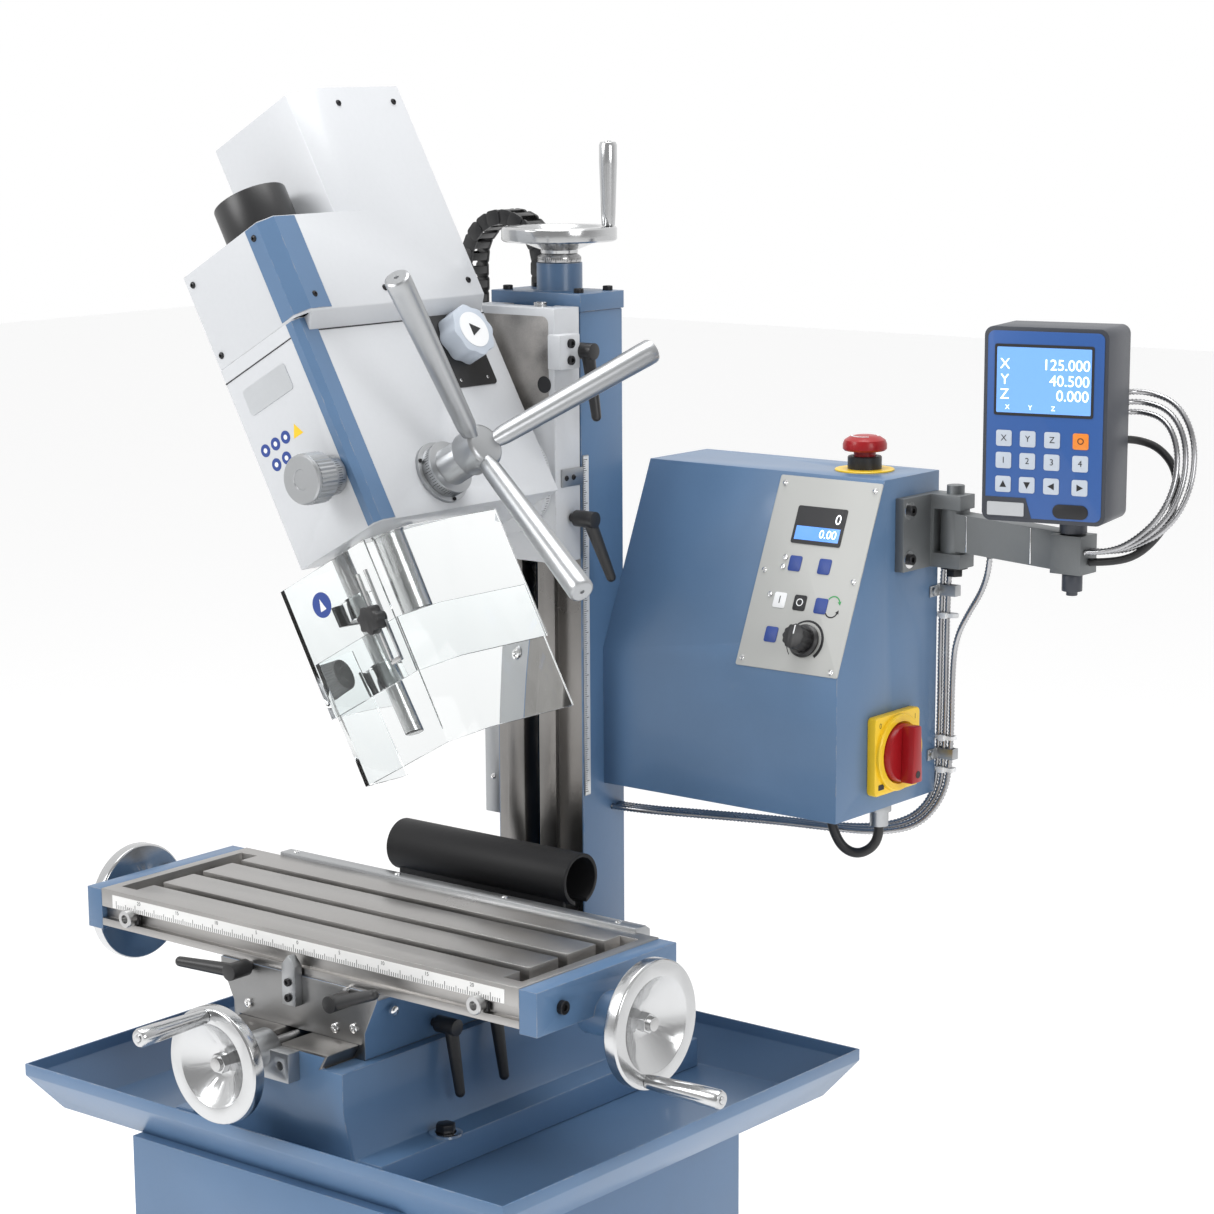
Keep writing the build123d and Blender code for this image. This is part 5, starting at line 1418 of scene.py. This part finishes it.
        stamp("guard_sticker_mark", hand, "guard", Paint.INK_WHITE,
              HEAD @ facing((-18, self.guard_front - 0.3, -76), Axis.RIGHT, Axis.UP))


# ---- control box -----------------------------------------------------------------------------------
@dataclass
class ControlBox:
    """Electric box with its panel, switch and emergency stop."""

    left: float = 152.0
    width: float = 110.0
    height: float = 178.0
    knob_at: tuple = (220.0, 31.0)
    stop_at: Point = (260.0, 292.0, BOX_TOP)
    switch_at: Point = (BOX_RIGHT, 256.0, 1067.0)
    screen: tuple = (0.491, 0.752)

    def uv(self, u: float, v: float, out: float = 1.25) -> Matrix:
        """Place on the panel from fractions across and up it."""
        return PANEL @ at(self.left + u * self.width, 2 + v * self.height, out)

    def key(self, name: str, u: float, v: float, w: float, h: float, which: Paint, mark: str = "",
            ink: Paint = Paint.INK_WHITE) -> None:
        """One membrane key with an optional character.

        Args:
            name: Name of the key.
            u: Fraction across the panel.
            v: Fraction up the panel.
            w: Width.
            h: Height.
            which: Its finish.
            mark: Its character.
            ink: Finish of the character.
        """
        add(f"key_{name}", prism(rounded_rect(w, h, 2), 0, 0.5, 0.15), "root", which, self.uv(u, v))
        if mark:
            stamp(f"key_{name}_mark", letters(mark, h * 0.5), "root", ink, self.uv(u, v, 1.85))

    def ring(self, name: str, u: float, v: float) -> None:
        """A small signal lamp with its rim.

        Args:
            name: Name of the lamp.
            u: Fraction across the panel.
            v: Fraction up the panel.
        """
        rim = lathe([(0, 0), (2.6, 0), (2.6, 0.6), (1.9, 0.9), (1.7, 0.4), (0, 0.5)], 28)
        add(f"lamp_{name}", rim, "root", Paint.CHROME, self.uv(u, v))

    def arc_arrow(self, name: str, u: float, v: float, r: float, a0: float, a1: float, which: Paint) -> None:
        """A curved arrow printed on the panel.

        Args:
            name: Name of the arrow.
            u: Fraction across the panel.
            v: Fraction up the panel.
            r: Radius.
            a0: Angle of the tail, in degrees.
            a1: Angle of the head, in degrees.
            which: Its finish.
        """
        steps = 18
        angles = [math.radians(a0 + (a1 - a0) * i / steps) for i in range(steps + 1)]
        outer = [((r + 0.6) * math.cos(a), (r + 0.6) * math.sin(a)) for a in angles]
        inner = [((r - 0.6) * math.cos(a), (r - 0.6) * math.sin(a)) for a in reversed(angles)]
        end, sign = angles[-1], 1 if a1 > a0 else -1
        tip = Vector((r * math.cos(end), r * math.sin(end)))
        along = Vector((-math.sin(end), math.cos(end))) * sign
        out = Vector((math.cos(end), math.sin(end)))
        head = [tip + out * 1.9, tip - out * 1.9, tip + along * 3.4]
        bm = merged(prism(outer + inner, 0, 0.12), prism([(p.x, p.y) for p in head], 0, 0.12))
        stamp(f"arrow_{name}", bm, "root", which, self.uv(u, v, 1.25))

    def build(self) -> None:
        """Makes the box."""
        refined("control_box", Paint.BLUE, 1.4)
        place = PANEL @ at(self.left + self.width / 2, 2 + self.height / 2, 0)
        plate = prism(rounded_rect(self.width, self.height, 2), 0, 1.2, 0.3)
        add("panel_plate", plate, "root", Paint.PANEL, place)
        for i, (u, v) in enumerate(((0.06, 0.96), (0.94, 0.96), (0.06, 0.50), (0.94, 0.49), (0.05, 0.04),
                                    (0.93, 0.025))):
            add(f"panel_screw_{i + 1}", button_screw(2.6), "root", Paint.CHROME, self.uv(u, v, 1.2))
        w, h = 0.43 * self.width, 0.162 * self.height
        add("lcd_frame", flat(w + 6, h + 6, 2, 0.5), "root", Paint.INK, self.uv(*self.screen))
        stamp("lcd_upper", flat(w, h * 0.52, 0, 0.1), "root", Paint.INK,
              self.uv(*self.screen, 1.8) @ at(0, h * 0.24, 0))
        stamp("lcd_lower", flat(w, h * 0.44, 0, 0.1), "root", Paint.LCD,
              self.uv(*self.screen, 1.8) @ at(0, -h * 0.26, 0))
        stamp("lcd_speed", letters("0", h * 0.32), "root", Paint.DIGIT,
              self.uv(*self.screen, 1.92) @ at(w * 0.40, h * 0.24, 0))
        stamp("lcd_depth", letters("0.00", h * 0.27), "root", Paint.DIGIT,
              self.uv(*self.screen, 1.92) @ at(w * 0.24, -h * 0.26, 0))
        kw, kh = 0.12 * self.width, 0.08 * self.height
        self.key("left", 0.345, 0.55, kw, kh, Paint.INK_BLUE)
        self.key("right", 0.634, 0.55, kw, kh, Paint.INK_BLUE)
        self.key("start", 0.283, 0.355, kw, kh, Paint.INK_WHITE, "I", Paint.INK)
        self.key("stop", 0.481, 0.353, kw, kh, Paint.INK, "O")
        self.key("jog", 0.689, 0.350, kw, kh, Paint.INK_BLUE)
        self.key("lamp", 0.279, 0.176, kw, kh, Paint.INK_BLUE)
        for i, (u, v) in enumerate(((0.239, 0.576), (0.237, 0.528), (0.178, 0.379))):
            self.ring(str(i + 1), u, v)
        self.arc_arrow("green", 0.80, 0.37, 6.5, 150, 20, Paint.INK_GREEN)
        self.arc_arrow("black", 0.80, 0.335, 6.5, 210, 340, Paint.INK)
        lamp = lathe([(0, 0), (2.4, 0), (2.4, 0.12), (0, 0.12)], 24)
        stamp("lamp_icon", lamp, "root", Paint.INK, self.uv(0.416, 0.179))
        steps = 26
        angles = [math.radians(225 - 270 * i / steps) for i in range(steps + 1)]
        band = [(19.5 * math.cos(a), 19.5 * math.sin(a)) for a in angles]
        band += [((18.8 - 2.4 * i / steps) * math.cos(a), (18.8 - 2.4 * i / steps) * math.sin(a))
                 for i, a in reversed(list(enumerate(angles)))]
        stamp("speed_scale", prism(band, 0, 0.12), "root", Paint.INK, PANEL @ at(*self.knob_at, 1.2))
        self.speed_knob(PANEL @ at(*self.knob_at, 0))
        self.switch()
        self.stop()

    def speed_knob(self, place: Matrix) -> None:
        """Fluted speed knob with a pointer line.

        Args:
            place: Foot of the knob.
        """
        skirt = lathe([(0, 2.6), (15, 2.6), (15, 4.6), (13, 6.6), (0, 6.6)], 64)
        cap = prism(lobed(11.5, 0.9, 12, 96), 6.5, 21.5, 0.8)
        add("speed_knob_looks", merged(skirt, cap), "speed_knob", Paint.BLACK, place,
            replaces=("speed_knob",), smooth=40)
        line = slab((-0.6, 0.6), (2, 10), (21.5, 21.7))
        stamp("speed_pointer", line, "speed_knob", Paint.INK_WHITE, place)

    def switch(self) -> None:
        """Main switch: yellow plate and ring, red dial and handle."""
        plate = merged(prism(rounded_rect(72, 72, 5), 0, 9, 1.2),
                       lathe([(26, 8.5), (35, 8.5), (35, 12), (34, 13), (28.5, 13), (28, 12), (26, 9)], 72))
        place = facing(self.switch_at, Axis.BACK, Axis.UP)
        collar = lathe([(0, 0), (27, 0), (27, 1), (26.4, 1.5), (0, 1.5)], 64)
        add("switch_plate_looks", plate, "root", Paint.YELLOW, place, replaces=("switch_plates",))
        add("estop_disc", collar, "root", Paint.YELLOW, aim(self.stop_at, Axis.UP))
        ring = lathe([(10.5, 1.5), (15.5, 1.5), (15.5, 12.2), (14.8, 13), (10.5, 13)], 48)
        add("estop_collar", ring, "root", Paint.BLACK, aim(self.stop_at, Axis.UP))
        dial = lathe([(0, 9.5), (26.5, 9.5), (26.5, 15), (25, 17.5), (0, 17.5)], 72)
        bar = prism([(-8, -26), (8, -26), (6, 26), (-6, 26)], 17, 31, 2.0)
        add("switch_knob_looks", merged(dial, bar), "main_switch", Paint.RED, place,
            replaces=("switch_knob",))
        # A flat black disc as painted shade inside the lock hole of the switch handle.
        hole_shade = lathe([(0, 0), (3.4, 0), (3.4, 0.3), (0, 0.3)], 32)
        stamp("switch_lock_hole", hole_shade, "main_switch", Paint.INK, place @ at(0, -18, 31))
        stamp("switch_window", flat(9, 5, 1, 0.3), "root", Paint.INK, place @ at(-26, -28, 9))
        for i, (text, dx, dy) in enumerate((("0", -28, 28), ("1", 28, 28))):
            stamp(f"switch_number_{i}", letters(text, 5), "root", Paint.INK, place @ at(dx, dy, 9.05))

    def stop(self) -> None:
        """Emergency stop mushroom."""
        cap = lathe([(0, -8), (10, -8), (10, 18), (18.5, 18), (20, 19.6), (20, 24), (18.6, 27.6),
                     (14, 30.6), (8, 31.9), (0, 32.2)], 72)
        add("estop_looks", cap, "estop", Paint.RED, aim(self.stop_at, Axis.UP), replaces=("estop_button",))
        for i in range(2):
            a0 = 180 * i + 20
            angles = [math.radians(a0 + 120 * k / 16) for k in range(17)]
            outline = [(12.6 * math.cos(a), 12.6 * math.sin(a)) for a in angles]
            outline += [(11.2 * math.cos(a), 11.2 * math.sin(a)) for a in reversed(angles)]
            stamp(f"estop_mark_{i}", prism(outline, 31.0, 31.5), "estop", Paint.INK_WHITE,
                  aim(self.stop_at, Axis.UP))


# ---- read-out --------------------------------------------------------------------------------------
@dataclass
class ReadOut:
    """Read-out with its face, keys, arm and bracket."""

    width: float = 110.0
    height: float = 167.0
    shift: float = -11.4
    low: float = 24.5

    def uv(self, u: float, v: float, out: float = 0.8) -> Matrix:
        """Place on the face from fractions across and up it."""
        return DRO @ facing((self.shift + (u - 0.5) * self.width, -50 - out, self.low + v * self.height),
                            Axis.RIGHT, Axis.UP)

    def build(self) -> None:
        """Makes the read-out."""
        refined("dro_bracket", Paint.CAST, 1.0)
        refined("dro_arm", Paint.CAST, 1.0)
        refined("dro_housing", Paint.HOUSING, 1.6)
        w, h = self.width, self.height
        add("readout_face", prism(rounded_rect(w - 7, h - 7, 6), 0, 0.8, 0.2), "dro", Paint.FACE,
            self.uv(0.5, 0.5, 0.0))
        left, low, high = 3.6 - w / 2, 3.6 - h / 2, 21 - h / 2
        cut = prism([(left, low), (0.41 * w - w / 2, low), (0.36 * w - w / 2, high), (left, high)], 0, 0.4)
        add("readout_corner", cut, "dro", Paint.HOUSING, self.uv(0.5, 0.5))
        add("readout_nameplate", flat(0.30 * w, 0.07 * h, 1, 0.5), "dro", Paint.LABEL,
            self.uv(0.20, 0.065, 1.2))
        add("readout_frame", prism(rounded_rect(0.80 * w, 0.365 * h, 2), 0, 0.5), "dro", Paint.INK,
            self.uv(0.49, 0.73))
        stamp("readout_screen", flat(0.76 * w, 0.335 * h, 1, 0.2), "dro", Paint.SCREEN,
              self.uv(0.49, 0.73, 1.3))
        for letter, v, value in (("X", 0.81, "125.000"), ("Y", 0.73, "40.500"), ("Z", 0.655, "0.000")):
            stamp(f"readout_axis_{letter}", letters(letter, 9), "dro", Paint.DIGIT, self.uv(0.175, v, 1.55))
            wide = 9.4 * len(value) * 0.62
            stamp(f"readout_value_{letter}", letters(value, 9.4), "dro", Paint.DIGIT,
                  self.uv(0.855, v, 1.55) @ at(-wide / 2, 0, 0))
        for letter, u in (("X", 0.20), ("Y", 0.385), ("Z", 0.57)):
            stamp(f"readout_small_{letter}", letters(letter, 4), "dro", Paint.DIGIT, self.uv(u, 0.59, 1.55))
        rows = ((0.43, "XYZO"), (0.316, "1234"), (0.193, ""))
        for r, (v, marks) in enumerate(rows):
            for c, u in enumerate((0.176, 0.37, 0.567, 0.796)):
                which = Paint.KEY_ORANGE if (r, c) == (0, 3) else Paint.KEY
                cap = prism(rounded_rect(0.127 * w, 0.083 * h, 2), 0, 0.7, 0.2)
                add(f"readout_key_{r}_{c}", cap, "dro", which, self.uv(u, v))
                if marks:
                    stamp(f"readout_mark_{r}_{c}", letters(marks[c], 5.5), "dro", Paint.INK,
                          self.uv(u, v, 1.6))
                else:
                    turn = Matrix.Rotation(math.radians((0, 180, 90, -90)[c]), 4, "Z")
                    arrow = prism([(-3, -2.6), (3, -2.6), (0, 3.2)], 0, 0.1)
                    stamp(f"readout_mark_{r}_{c}", arrow, "dro", Paint.INK, self.uv(u, v, 1.5) @ turn)
        add("readout_oval", prism(rounded_rect(0.285 * w, 0.073 * h, 5.9), 0, 0.7, 0.2), "dro", Paint.INK,
            self.uv(0.725, 0.067))
        for i, (u, v) in enumerate(((0.05, 0.97), (0.95, 0.97), (0.95, 0.03), (0.05, 0.03))):
            place = DRO @ facing((self.shift + (u - 0.5) * w, 10, self.low + v * h), Axis.LEFT, Axis.UP)
            add(f"readout_screw_{i + 1}", button_screw(2.2), "dro", Paint.SCREW, place)
        for k, z in enumerate((130, 121, 112, 90)):
            gland = lathe([(0, 0), (5.2, 0), (5.2, 3), (4.2, 5), (0, 5)], 28)
            add(f"readout_plug_{k + 1}", gland, "dro", Paint.SCREW, DRO @ aim((27.5, 10, z), Axis.BACK))
        add("bracket_nut", hex_bolt(8, 7), "root", Paint.SCREW, aim((340, 319, 1229), Axis.DOWN))
        for i, (y, z) in enumerate(((270, 1284), (270, 1240))):
            place = aim((323, y, z), Axis.RIGHT)
            add(f"bracket_screw_{i + 1}", socket_screw(5, 5), "root", Paint.SCREW, place)
            ring = lathe([(0, 0), (8, 0), (8, 1.2), (0, 1.2)], 32)
            add(f"bracket_washer_{i + 1}", ring, "root", Paint.CHROME, place)
        # Two bright chrome strips on the arm: painted highlights along its edges, not real seams.
        for i, x in enumerate((358, 424)):
            mid = 1262 - 8 * (x - 340) / 126
            seam_and_highlight = slab((x, x + 1.4), (307.4, 308.0), (mid - 16, mid + 16), 0.2)
            add(f"arm_edge_highlight_{i + 1}", seam_and_highlight, "dro_arm", Paint.CHROME)


def main() -> None:
    """Builds the whole machine."""
    Studio().build()
    Cords().build()
    Stand().build()
    Base().build()
    Table().build()
    Column().build()
    Head().build()
    ControlBox().build()
    ReadOut().build()


if __name__ == "__main__":
    main()
